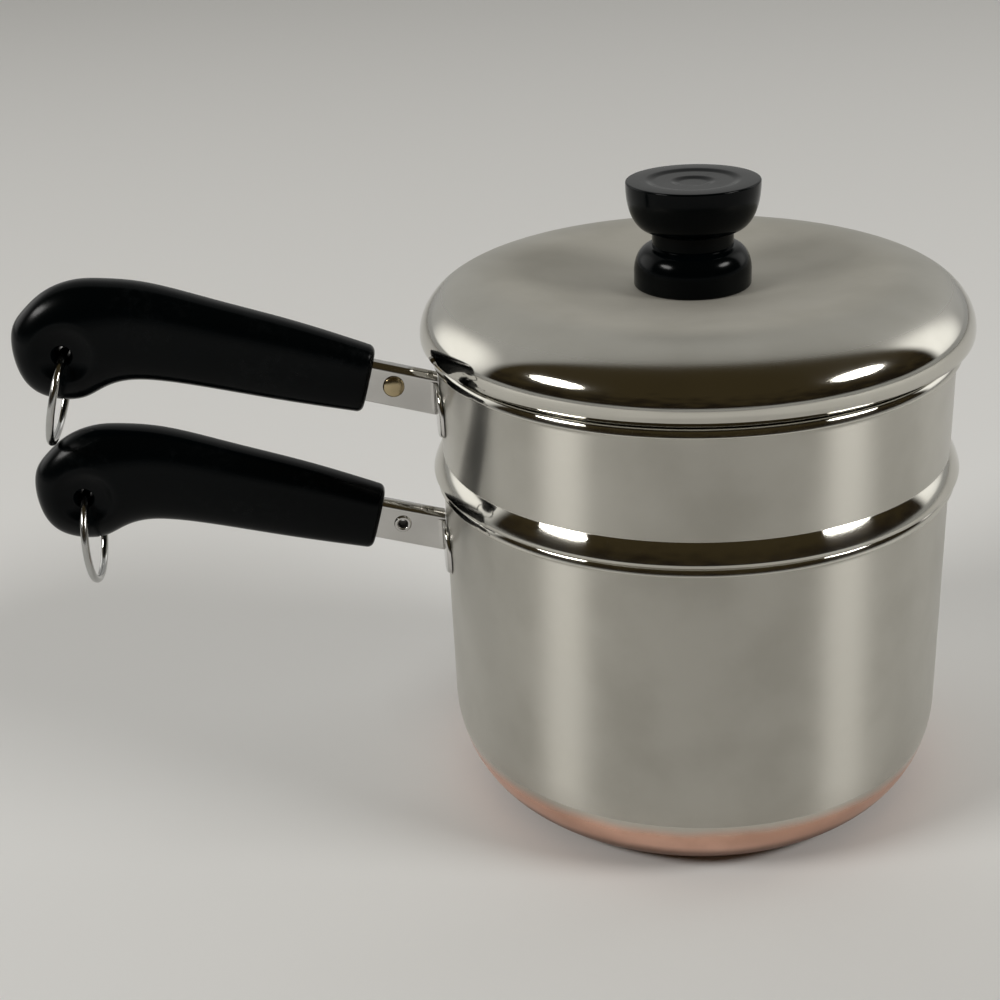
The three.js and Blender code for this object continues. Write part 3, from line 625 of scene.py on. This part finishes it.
# Knob fastening: a screw from inside the lid, with a washer under its slotted head, draws the knob down by a
# brass sleeve that is moulded into the cup. Screw and washer are bright plated steel.
SCREW_RADIUS = 2.5 * MM
SCREW_TURNS = 48
SLOT_WIDTH = 1.2 * MM
SLOT_DEPTH = 1.4 * MM
WASHER_ROUND = 0.3 * MM
SMALL_TURNS = 64
CHROME_COLOUR = (0.50, 0.50, 0.49, 1)
CHROME_DULL = (0.38, 0.38, 0.37, 1)
CHROME_GLOSS = (0.08, 0.2)
BRASS_COLOUR = (0.46, 0.38, 0.23, 1)
BRASS_DULL = (0.32, 0.25, 0.15, 1)
BRASS_GLOSS = (0.16, 0.30)
SMALL_LINES = 3000.0
washer_low, washer_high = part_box("knob_washer")
screw_low, screw_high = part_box("knob_screw")
head_top = washer_low.z - REST_GAP
slot_reach = 2 * screw_high.x
slot_low = (-slot_reach, -SLOT_WIDTH / 2, screw_low.z - SLOT_DEPTH)
slot_high = (slot_reach, SLOT_WIDTH / 2, screw_low.z + SLOT_DEPTH)
screw_profile = np.concatenate([
    arc((0, head_top), screw_high.x, head_top - screw_low.z, -90, 0, 16),
    [[SCREW_RADIUS, head_top], [SCREW_RADIUS, screw_high.z - SCREW_RADIUS], [0, screw_high.z]],
])
washer_profile = np.concatenate([
    arc((washer_high.x - WASHER_ROUND, washer_low.z + WASHER_ROUND), WASHER_ROUND, WASHER_ROUND, -90, 0, 5),
    arc((washer_high.x - WASHER_ROUND, washer_high.z - WASHER_ROUND), WASHER_ROUND, WASHER_ROUND, 0, 90, 5),
    [[SCREW_HOLE, washer_high.z], [SCREW_HOLE, washer_low.z]],
])


def block(low, high):
    """Grid of a box between two corners: its square section, run from the low height to the high one, with
    both ends drawn in to their middles."""
    low, high = np.array(low), np.array(high)
    middle = (low + high) / 2
    along = np.array([low[0], high[0], high[0], low[0], low[0]])
    across = np.array([low[1], low[1], high[1], high[1], low[1]])
    ring = np.stack([along, across], axis=-1)
    pole = np.broadcast_to(middle[:2], ring.shape)
    rows = np.stack([pole, ring, ring, pole])
    height = np.array([low[2], low[2], high[2], high[2]])[:, None, None]
    return np.concatenate([rows, np.broadcast_to(height, rows.shape[:2] + (1,))], axis=-1)


def refinish(node, finish):
    """Gives a piece that keeps its solid's own shape a new finish."""
    materials = frame["nodes"][node].data.materials
    materials.clear()
    materials.append(finish)


bright_plate = metal("bright_plate", CHROME_COLOUR, CHROME_DULL, CHROME_GLOSS, SMALL_LINES)
dull_brass = metal("dull_brass", BRASS_COLOUR, BRASS_DULL, BRASS_GLOSS, SMALL_LINES)
knob_bolt = skin("knob_bolt", turned(screw_profile, SCREW_TURNS))
cut(knob_bolt, skin("slot_block", block(slot_low, slot_high)))
fit(knob_bolt, bright_plate, "lid", "ring_steel", "knob_screw")
knob_disc = skin("knob_disc", turned(washer_profile, SMALL_TURNS, closed=True))
fit(knob_disc, bright_plate, "lid", "ring_steel", "knob_washer")
refinish("knob_insert", dull_brass)

# Handle brackets: each is one steel sheet folded over into a channel, with its two side plates turned out at
# the wall into leaves that are spot welded there. The far end goes into a socket in the grip.
HANDLE_RISE = math.radians(16)
BRACKET_HALF = 3 * MM
BRACKET_TOP = 7.25 * MM
BRACKET_LENGTH = 24.5 * MM
BRACKET_SOCKET = 12 * MM
EDGE_POINTS = 6
FOLD_POINTS = 25
LEAF_REACH = 11 * MM
LEAF_DROP = 5 * MM
LEAF_MIDDLE = 8.5 * MM
LEAF_FILLET = 1.6 * MM
LEAF_ROWS = 25
LEAF_COLUMNS = 41
RIVET_PLACE = 16 * MM
RIVET_HOLE = 1.7 * MM
PUNCH_TURNS = 48
GRIP_LENGTH = 119 * MM
GRIP_DEPTH = 45.3 * MM
RING_HOLE = (0.849, -0.243)  # shares of the grip's length and of its depth
BRACKET_COLOUR = (0.58, 0.57, 0.55, 1)
BRACKET_DULL = (0.50, 0.49, 0.47, 1)
BRACKET_GLOSS = (0.08, 0.16)
BRACKET_LINES = 2600.0
OUT = np.array([-math.cos(HANDLE_RISE), 0, math.sin(HANDLE_RISE)])
TOWARDS = np.array([0, -1, 0])
UP = np.array([math.sin(HANDLE_RISE), 0, math.cos(HANDLE_RISE)])
HANDLES = {
    # what its pieces are called, its body, the radius of its wall
    "pan": ("saucepan", "saucepan", PAN_RADIUS),
    "steamer": ("insert", "steamer", STEAMER_RADIUS),
}
pivots = {joint["child"]: np.array(joint["pos_m"]) for joint in frame["joints"] if joint["type"] == "hinge"}
hole_along = BRACKET_LENGTH + RING_HOLE[0] * GRIP_LENGTH
hole_up = RING_HOLE[1] * GRIP_DEPTH
fold_foot = BRACKET_TOP - BRACKET_HALF
punch_reach = 2 * BRACKET_HALF


def handle_foot(ring):
    """Where a handle's middle line starts at the wall, found back from the pivot of the handle's ring."""
    return pivots[ring] - hole_along * OUT - hole_up * UP


def on_handle(ring, points):
    """Points (along, towards the front, up) of a handle, measured from its foot, put in place."""
    return handle_foot(ring) + points @ np.stack([OUT, TOWARDS, UP])


def from_wall(ring, radius, across, up):
    """How far along the handle a line at that place across and up meets a wall of that radius: the handle's
    foot plus the line's lean from upright has to reach the wall's x, the root of radius squared less across
    squared."""
    return (handle_foot(ring)[0] + up * UP[0] + np.sqrt(radius ** 2 - across ** 2)) / -OUT[0]


def channel(ring, radius):
    """The folded sheet: a centre line up one side, round the fold and down the other, with half a sheet's
    thickness to each side of it that runs out in a half round at both cut edges, carried from wall to
    socket."""
    middle = BRACKET_HALF - SHEET / 2
    end = np.linspace(0, np.pi / 2, EDGE_POINTS)
    side = np.append(SHEET / 2 * (1 - np.cos(end)), fold_foot + BRACKET_TOP) - BRACKET_TOP
    fold = np.linspace(0, np.pi, FOLD_POINTS)
    across = np.concatenate([np.full(len(side), middle), middle * np.cos(fold), np.full(len(side), -middle)])
    up = np.concatenate([side, fold_foot + middle * np.sin(fold), side[::-1]])
    lean = np.concatenate([np.zeros(len(side)), fold, np.full(len(side), np.pi)])
    edge = SHEET / 2 * np.append(np.sin(end), 1)
    half = np.concatenate([edge, np.full(len(fold), SHEET / 2), edge[::-1]])
    faces = [(across + sign * half * np.cos(lean), up + sign * half * np.sin(lean)) for sign in (1, -1)]
    (outer_y, outer_w), (inner_y, inner_w) = faces
    far = np.full(len(up), BRACKET_LENGTH + BRACKET_SOCKET)
    columns = [
        (from_wall(ring, radius, outer_y, outer_w), outer_y, outer_w),
        (far, outer_y, outer_w),
        (far, inner_y, inner_w),
        (from_wall(ring, radius, inner_y, inner_w), inner_y, inner_w),
        (from_wall(ring, radius, outer_y, outer_w), outer_y, outer_w),
    ]
    return on_handle(ring, np.stack([np.stack(column, axis=-1) for column in columns], axis=1))


def leaf(ring, radius, side):
    """One welded leaf as a sheet that lies on the wall. Its outer edge is two quadratic curves, and the inner
    one below the channel a third; its height over the wall is the sheet's, rounded down at the edges as a
    quarter circle of the sheet's thickness, plus a fillet against the channel's side."""
    wide = BRACKET_HALF + LEAF_REACH
    low = -BRACKET_TOP - LEAF_DROP
    late = np.linspace(0, 1, LEAF_ROWS)
    early = 1 - late
    up = np.concatenate([
        fold_foot - (fold_foot + BRACKET_TOP) * late ** 2,
        -BRACKET_TOP * early ** 2 + low * (1 - early ** 2),
    ])
    outer = np.concatenate([
        BRACKET_HALF * early ** 2 + wide * (1 - early ** 2),
        wide * (1 - late ** 2) + LEAF_MIDDLE * late ** 2,
    ])
    inner = np.concatenate([np.full(LEAF_ROWS, BRACKET_HALF - SHEET / 2), LEAF_MIDDLE * late ** 2])
    share = (1 - np.cos(np.linspace(0, np.pi, LEAF_COLUMNS))) / 2
    across = inner[:, None] + (outer - inner)[:, None] * share
    free = (up < -BRACKET_TOP)[:, None]
    inside = np.where(free, across - inner[:, None], SHEET)
    depth = np.minimum(np.minimum(outer[:, None] - across, inside), SHEET)
    thick = np.sqrt(np.maximum(SHEET ** 2 - (SHEET - depth) ** 2, 0))
    near = np.clip(BRACKET_HALF + LEAF_FILLET - across, 0, LEAF_FILLET)
    fillet = LEAF_FILLET - np.sqrt(LEAF_FILLET ** 2 - near ** 2)
    thick = thick + fillet * np.clip((up + BRACKET_TOP) / LEAF_FILLET, 0, 1)[:, None]
    rows = []
    for height in (thick, 0 * thick):
        along = from_wall(ring, radius, across, up[:, None]) + height / -OUT[0]
        rows.append(np.stack([along, side * across, up[:, None] + 0 * across], axis=-1))
    front, back = rows
    return on_handle(ring, np.concatenate([front, back[:, ::-1], front[:, :1]], axis=1))


def across_handle(ring, grid, along, up):
    """Turns a surface of revolution about Z to the line across a handle, at a place along and up."""
    points = np.stack([along + grid[..., 0], grid[..., 2], up - grid[..., 1]], axis=-1)
    return on_handle(ring, points)


satin_steel = metal("satin_steel", BRACKET_COLOUR, BRACKET_DULL, BRACKET_GLOSS, BRACKET_LINES)
punch = plug(RIVET_HOLE, -punch_reach, punch_reach, PUNCH_TURNS)
for handle, (name, body, wall) in HANDLES.items():
    ring = handle + "_ring"
    seat = wall + REST_GAP
    folded = skin(name + "_bracket", channel(ring, seat), leaf(ring, seat, 1), leaf(ring, seat, -1))
    cut(folded, skin("punch", across_handle(ring, punch, RIVET_PLACE, 0)))
    fit(folded, satin_steel, body, "bracket_steel", handle + "_handle_bracket")

# Tongues: a flat steel bar inside each bracket runs on into the grip and carries it. They are hidden, and
# have the satin finish of the brackets.
for handle in HANDLES:
    refinish(handle + "_handle_tang", satin_steel)

# Rivets: each bracket is closed on its tongue by one cross fastening. The pan's is a hollow steel eyelet with
# rolled heads, and the insert's a solid brass rivet with low domed heads.
EYELET_HEAD = 3.1 * MM
EYELET_ROLL = 0.75 * MM
EYELET_BORE = 1.4 * MM
EYELET_GLOSS = (0.10, 0.20)
RIVET_HEAD = 3.7 * MM
RIVET_RISE = 1.7 * MM
RIVET_BRIM = 0.35 * MM
# painted shade in the eyelet's bore: a dark colour and a rougher finish inside the bore's radius
BORE_SHADE_EDGE = 0.3 * MM
BORE_SHADE_COLOUR = (0.030, 0.022, 0.015, 1)
BORE_SHADE_ROUGHNESS = 0.6
rivet_seat = BRACKET_HALF


def bore_shaded_steel():
    """The brackets' steel, darkened with painted shade in the eyelet's bore: a smooth step of the distance
    from the line through the bore, which is measured with the part along that line left out."""
    finish = metal("eyelet_steel", BRACKET_COLOUR, BRACKET_DULL, EYELET_GLOSS, BRACKET_LINES)
    tree = finish.node_tree
    centre = on_handle("pan_ring", np.array([RIVET_PLACE, 0, 0]))
    distance = apart(tree, object_place(tree), centre, axes=(1, 0, 1))
    # painted shade: the share of the dark colour, full inside the bore
    bore_shade = ramp(tree, distance, EYELET_BORE + BORE_SHADE_EDGE, EYELET_BORE)
    overlay(finish, "Base Color", bore_shade, BORE_SHADE_COLOUR)
    overlay(finish, "Roughness", bore_shade, BORE_SHADE_ROUGHNESS)
    return finish


eyelet_roll = arc((EYELET_HEAD - EYELET_ROLL, rivet_seat), EYELET_ROLL, EYELET_ROLL, 0, 180, 16)
eyelet_half = np.concatenate([eyelet_roll, [[EYELET_BORE, rivet_seat - EYELET_ROLL]]])
eyelet_profile = np.concatenate([eyelet_half, (eyelet_half * (1, -1))[::-1]])
rivet_dome = arc((0, rivet_seat + RIVET_BRIM), RIVET_HEAD, RIVET_RISE - RIVET_BRIM, 0, 90, 16)
rivet_half = np.concatenate([[[RIVET_HEAD, rivet_seat]], rivet_dome])
rivet_profile = np.concatenate([(rivet_half * (1, -1))[::-1], rivet_half])
eyelet_grid = across_handle("pan_ring", turned(eyelet_profile, SMALL_TURNS, closed=True), RIVET_PLACE, 0)
rivet_grid = across_handle("steamer_ring", turned(rivet_profile, SMALL_TURNS), RIVET_PLACE, 0)
fit(skin("saucepan_eyelet", eyelet_grid), bore_shaded_steel(), "saucepan", "bracket_steel", "pan_bracket_eyelet")
fit(skin("insert_rivet", rivet_grid), dull_brass, "steamer", "rivet_brass", "steamer_bracket_rivet")

# Grips: black phenolic, moulded round the tongue's slot, slim at the bracket and swelling to a bulb that
# fills the palm. The bulb is hollowed on both sides round the hole for the ring.
GRIP_WIDTH = 22 * MM
GRIP_SQUARENESS = (2.7, 2.05)  # of its sections, at the bracket and at the bulb's end
GRIP_SHINE = 0.085
GRIP_GLOSS = (0.20, 0.26)
GRIP_GRAIN = 0.006 * MM
GRIP_END_ROUND = 2.2 * MM
GRIP_ROWS = 150
END_ROWS = 9
SIDE_STEPS = 60
RING_WEB = 14 * MM
HOLLOW_BALL = 20 * MM
HOLLOW_SOFTNESS = 1.2 * MM
HOLE_REACH = 13.2 * MM
HOLE_ROWS = 49
RING_PLAY = 0.4 * MM
SOCKET_PLAY = 0.3 * MM
CUT_OVERLAP = 1 * MM
TONGUE_END = 68.5 * MM
GRIP_STATIONS = np.array([
    # top along, top up, bottom along, bottom up, half width, as shares of the grip's length, depth and width
    [0.000, 0.249, 0.000, -0.260, 0.328],
    [0.235, 0.316, 0.235, -0.291, 0.372],
    [0.454, 0.351, 0.454, -0.307, 0.408],
    [0.647, 0.377, 0.639, -0.353, 0.448],
    [0.773, 0.344, 0.731, -0.477, 0.484],
    [0.857, 0.287, 0.790, -0.592, 0.500],
    [0.929, 0.163, 0.882, -0.623, 0.456],
    [0.978, -0.009, 0.958, -0.497, 0.328],
    [1.000, -0.216, 1.000, -0.216, 0.000],
])
ring_boxes = {handle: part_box(handle + "_hang_ring") for handle in HANDLES}
ring_radius = np.linalg.norm(np.mean(ring_boxes["pan"], axis=0) - pivots["pan_ring"])
ring_wire = ring_boxes["pan"][1].y - ring_radius
socket_end = BRACKET_LENGTH + BRACKET_SOCKET + SOCKET_PLAY
slot_end = TONGUE_END + SOCKET_PLAY


def spline(rows, share):
    """The natural cubic spline through evenly spaced rows, at shares from 0 to 1 of the way: on each stretch
    the straight mix of its two rows, plus their second differences, which solve a system of 1, 4, 1, times a
    cubic."""
    count = len(rows) - 1
    system = 4 * np.eye(count - 1) + np.eye(count - 1, k=1) + np.eye(count - 1, k=-1)
    bend = np.zeros_like(rows)
    bend[1:-1] = np.linalg.solve(system, 6 * (rows[2:] - 2 * rows[1:-1] + rows[:-2]))
    stretch = np.minimum((share * count).astype(int), count - 1)
    late = (share * count - stretch)[:, None]
    early = 1 - late
    curve = (early ** 3 - early) * bend[stretch] + (late ** 3 - late) * bend[stretch + 1]
    return early * rows[stretch] + late * rows[stretch + 1] + curve / 6


def grip_skin(ring):
    """The grip as sections carried along it. Each is a superellipse between a top and a bottom curve, of the
    half width given there; the inner end is drawn in over a quarter round and closed flat. The sides then
    give way to a ball sunk on the ring's hole, by a smooth minimum of the two depths."""
    lower = GRIP_STATIONS[-2::-1, 2:] * (1, 1, -1)
    outline = np.concatenate([GRIP_STATIONS[:, [0, 1, 4]], lower]) * (GRIP_LENGTH, GRIP_DEPTH, GRIP_WIDTH)
    bow = np.linspace(0, np.pi / 2, END_ROWS)
    lead = GRIP_END_ROUND * (1 - np.cos(bow))
    whole = GRIP_STATIONS[1, 0] * GRIP_LENGTH * (len(GRIP_STATIONS) - 1)
    share = np.concatenate([[0], lead / whole, np.linspace(lead[-1] / whole, 1, GRIP_ROWS)[1:]])
    drawn = np.zeros(len(share))
    drawn[0] = np.inf
    drawn[1:END_ROWS + 1] = GRIP_END_ROUND * (1 - np.sin(bow))
    top, bottom = spline(outline, share / 2), spline(outline, 1 - share / 2)
    middle, reach = (top + bottom)[:, :2] / 2, (top - bottom)[:, :2] / 2
    half = (top - bottom)[:, 2] / 2
    tall = np.hypot(reach[:, 0], reach[:, 1])
    keep_tall = np.maximum(1 - drawn / np.maximum(tall, MM), 0)
    keep_wide = np.maximum(1 - drawn / np.maximum(half, MM), 0)
    angle = np.linspace(0, 2 * np.pi, 2 * SIDE_STEPS + 1)
    squareness = (GRIP_SQUARENESS[0] + (GRIP_SQUARENESS[1] - GRIP_SQUARENESS[0]) * share)[:, None]
    rise, spread = fuller(np.cos(angle), squareness), fuller(np.sin(angle), squareness)
    spread[:, ::SIDE_STEPS] = 0
    along = middle[:, :1] + (reach[:, 0] * keep_tall)[:, None] * rise
    up = middle[:, 1:] + (reach[:, 1] * keep_tall)[:, None] * rise
    across = (half * keep_wide)[:, None] * spread
    from_hole = np.hypot(along + BRACKET_LENGTH - hole_along, up - hole_up)
    sunk = RING_WEB / 2 + HOLLOW_BALL - np.sqrt(np.maximum(HOLLOW_BALL ** 2 - from_hole ** 2, 0))
    depth = np.abs(across)
    in_ball = np.clip(0.5 + (depth - sunk) / HOLLOW_SOFTNESS / 2, 0, 1)
    soft = sunk * in_ball + depth * (1 - in_ball) - HOLLOW_SOFTNESS * in_ball * (1 - in_ball)
    return on_handle(ring, np.stack([BRACKET_LENGTH + along, np.sign(across) * soft, up], axis=-1))


def ring_hole(ring):
    """The hole as a trumpet about the line across the grip. At each distance across it reaches as far as the
    ring's inner edge lies from that line, the ring's radius less the root of the inner radius squared less
    the distance squared, plus the ring's play."""
    across = np.linspace(-HOLE_REACH, HOLE_REACH, HOLE_ROWS)
    radius = ring_radius - np.sqrt((ring_radius - ring_wire) ** 2 - across ** 2) + RING_PLAY
    side = np.column_stack([radius, across])
    profile = np.concatenate([side[:1] * (0, 1), side, side[-1:] * (0, 1)])
    return across_handle(ring, turned(profile, SMALL_TURNS), hole_along, hole_up)


def slot_block(ring, half, top, start, stop):
    """A block across the handle's middle, for the bracket's socket or the tongue's slot in the grip."""
    return on_handle(ring, block((start, -half, -top), (stop, half, top)))


grip_black = phenolic("grip_black", GRIP_SHINE, GRIP_GLOSS, GRIP_GRAIN)
for handle, (name, body, _) in HANDLES.items():
    ring = handle + "_ring"
    moulding = skin(name + "_handle_grip", grip_skin(ring))
    openings = [
        ring_hole(ring),
        slot_block(ring, BRACKET_HALF + SOCKET_PLAY, BRACKET_TOP + SOCKET_PLAY, 0, socket_end),
        slot_block(ring, BRACKET_HALF - SHEET, BRACKET_TOP - SHEET, socket_end - CUT_OVERLAP, slot_end),
    ]
    for opening in openings:
        cut(moulding, skin("opening", opening))
    fit(moulding, grip_black, body, "black_phenolic", handle + "_grip")

# Hanging rings: bright steel wire bent into a ring through the hole in each grip. The upper one leans out on
# the grip below it, and the lower one hangs straight.
WIRE_STEPS = 128
WIRE_SIDES = 24
RING_SIDE = np.array([0, 1, 0])


def wire_ring(handle):
    """A torus: the ring's centre, its radius along each spoke of its circle, and the wire's own circle, along
    the spoke and the ring's face."""
    centre = np.mean([np.array(corner) for corner in ring_boxes[handle]], axis=0)
    rise = (pivots[handle + "_ring"] - centre) / ring_radius
    face = np.cross(RING_SIDE, rise)
    turn = np.linspace(0, 2 * np.pi, WIRE_STEPS + 1)[:, None, None]
    round_wire = np.linspace(0, 2 * np.pi, WIRE_SIDES + 1)[None, :, None]
    spoke = rise * np.cos(turn) + RING_SIDE * np.sin(turn)
    reach = ring_radius + ring_wire * np.cos(round_wire)
    return centre + spoke * reach + face * ring_wire * np.sin(round_wire)


for handle, (name, *_) in HANDLES.items():
    ring = skin(name + "_ring", wire_ring(handle))
    fit(ring, bright_plate, handle + "_ring", "ring_steel", handle + "_hang_ring")

# Studio: a wide pale floor, two soft lamps in front at the sides, and a room that is dark in front and pale
# behind, which the steel mirrors. The camera stands where the photograph was taken from.
FLOOR_RINGS = (0, 0.25, 1.0, 8.0)
FLOOR_TURNS = 96
FLOOR_COLOUR = (0.82, 0.82, 0.81, 1)
FLOOR_ROUGHNESS = 0.9
FLOOR_SHINE = 0.2
# painted shadow: a soft darker patch of the floor's colour in front of the pan
FLOOR_SHADOW_COLOUR = (0.68, 0.678, 0.67, 1)
FLOOR_SHADOW_PLACE = (0.03, -0.38, 0)
FLOOR_SHADOW_REACH = (0.34, 0.12)  # where the floor's darker front is clear, where it is full
ROOM_BACK = (0.49, 0.49, 0.477, 1)
ROOM_SIDE = (0.46, 0.457, 0.445, 1)
ROOM_FRONT = (0.050, 0.038, 0.018, 1)
ROOM_LOW = (0.016, 0.012, 0.008, 1)
ROOM_EDGE = (0.39, 0.39, 0.38, 1)
SIDE_SPAN = (0.35, 0.80)  # the spans are shares of a unit vector, where a part is clear and where it is full
FRONT_SPAN = (0.24, 0.12)
LOW_SPAN = (-0.1, 0.5)
EDGE_SPAN = (0.09, 0.05)
CLUTTER_SCALE = 7.0
ROOM_GLOWS = ((-125.0, 16.0), (107.0, 21.0))  # azimuth, elevation
GLOW_SPAN = (0.89, 1.0)
GLOW_COLOUR = (1.5, 1.49, 1.45, 1)
LAMPS = {"lamp_left": (-71.0, 35.0), "lamp_right": (65.0, 35.0)}
LAMP_WIDTH = 1.5
LAMP_HEIGHT = 0.75
LAMP_DISTANCE = 4.0
LAMP_POWER = 65.0
LAMP_COLOUR = (1.0, 0.985, 0.96)
CAMERA_PLACE = (-0.09125, -0.5175, 0.3402)
CAMERA_RIGHT = np.array([0.9969, -0.0639, -0.0449])
CAMERA_UP = np.array([0.0671, 0.4066, 0.9112])
CAMERA_LENS = 57.6


def direction(azimuth, elevation):
    """The unit vector at an azimuth from the front, positive to the right, and an elevation, in degrees."""
    turn, lift = math.radians(azimuth), math.radians(elevation)
    return (math.sin(turn) * math.cos(lift), -math.cos(turn) * math.cos(lift), math.sin(lift))


disc = turned([[radius, 0] for radius in FLOOR_RINGS], FLOOR_TURNS)
floor = skin("floor", disc[::-1])
ground = bpy.data.materials.new("pale_floor")
ground.use_nodes = True
tree = ground.node_tree
shader = tree.nodes["Principled BSDF"]
shader.inputs["Roughness"].default_value = FLOOR_ROUGHNESS
shader.inputs["Specular IOR Level"].default_value = FLOOR_SHINE
# painted shadow on the floor in front of the pan, mixed over its pale colour
floor_shadow = ramp(tree, apart(tree, object_place(tree), FLOOR_SHADOW_PLACE), *FLOOR_SHADOW_REACH)
tree.links.new(mixed(tree, floor_shadow, FLOOR_COLOUR, FLOOR_SHADOW_COLOUR), shader.inputs["Base Color"])
floor.data.materials.append(ground)

world = bpy.data.worlds.new("studio")
world.use_nodes = True
bpy.context.scene.world = world
tree = world.node_tree
sight = put(tree, "ShaderNodeTexCoord", {}).outputs["Generated"]
parts = put(tree, "ShaderNodeSeparateXYZ", {0: sight}).outputs
beside = put(tree, "ShaderNodeMath", {0: parts["X"]}, operation="ABSOLUTE").outputs[0]
room = mixed(tree, ramp(tree, beside, *SIDE_SPAN), ROOM_BACK, ROOM_SIDE)
for azimuth, elevation in ROOM_GLOWS:
    aim = {0: sight, 1: direction(azimuth, elevation)}
    near = put(tree, "ShaderNodeVectorMath", aim, operation="DOT_PRODUCT").outputs["Value"]
    room = mixed(tree, ramp(tree, near, *GLOW_SPAN), room, GLOW_COLOUR)
lowness = calculate(tree, "SUBTRACT", noise(tree, sight, CLUTTER_SCALE, detail=3.0), parts["Z"])
front = mixed(tree, ramp(tree, lowness, *LOW_SPAN), ROOM_FRONT, ROOM_LOW)
room = mixed(tree, ramp(tree, parts["Y"], *FRONT_SPAN), room, front)
room = mixed(tree, ramp(tree, parts["Z"], *EDGE_SPAN), room, ROOM_EDGE)
tree.links.new(room, tree.nodes["Background"].inputs["Color"])

for name, (azimuth, elevation) in LAMPS.items():
    light = bpy.data.lights.new(name, "AREA")
    light.shape = "ELLIPSE"
    light.size = LAMP_WIDTH
    light.size_y = LAMP_HEIGHT
    light.energy = LAMP_POWER
    light.color = LAMP_COLOUR
    lamp = bpy.data.objects.new(name, light)
    lamp.location = LAMP_DISTANCE * np.array(direction(azimuth, elevation))
    lamp.rotation_euler = (math.radians(90 - elevation), 0, math.radians(azimuth))
    bpy.context.scene.collection.objects.link(lamp)

sensor = bpy.data.cameras.new("camera")
sensor.lens = CAMERA_LENS
camera = bpy.data.objects.new("camera", sensor)
bpy.context.scene.collection.objects.link(camera)
stand = np.eye(4)
stand[:3, 0] = CAMERA_RIGHT
stand[:3, 1] = CAMERA_UP
stand[:3, 2] = np.cross(CAMERA_RIGHT, CAMERA_UP)
stand[:3, 3] = CAMERA_PLACE
camera.matrix_world = Matrix(stand.tolist())
bpy.context.scene.camera = camera
bpy.context.scene.view_settings.view_transform = "Standard"
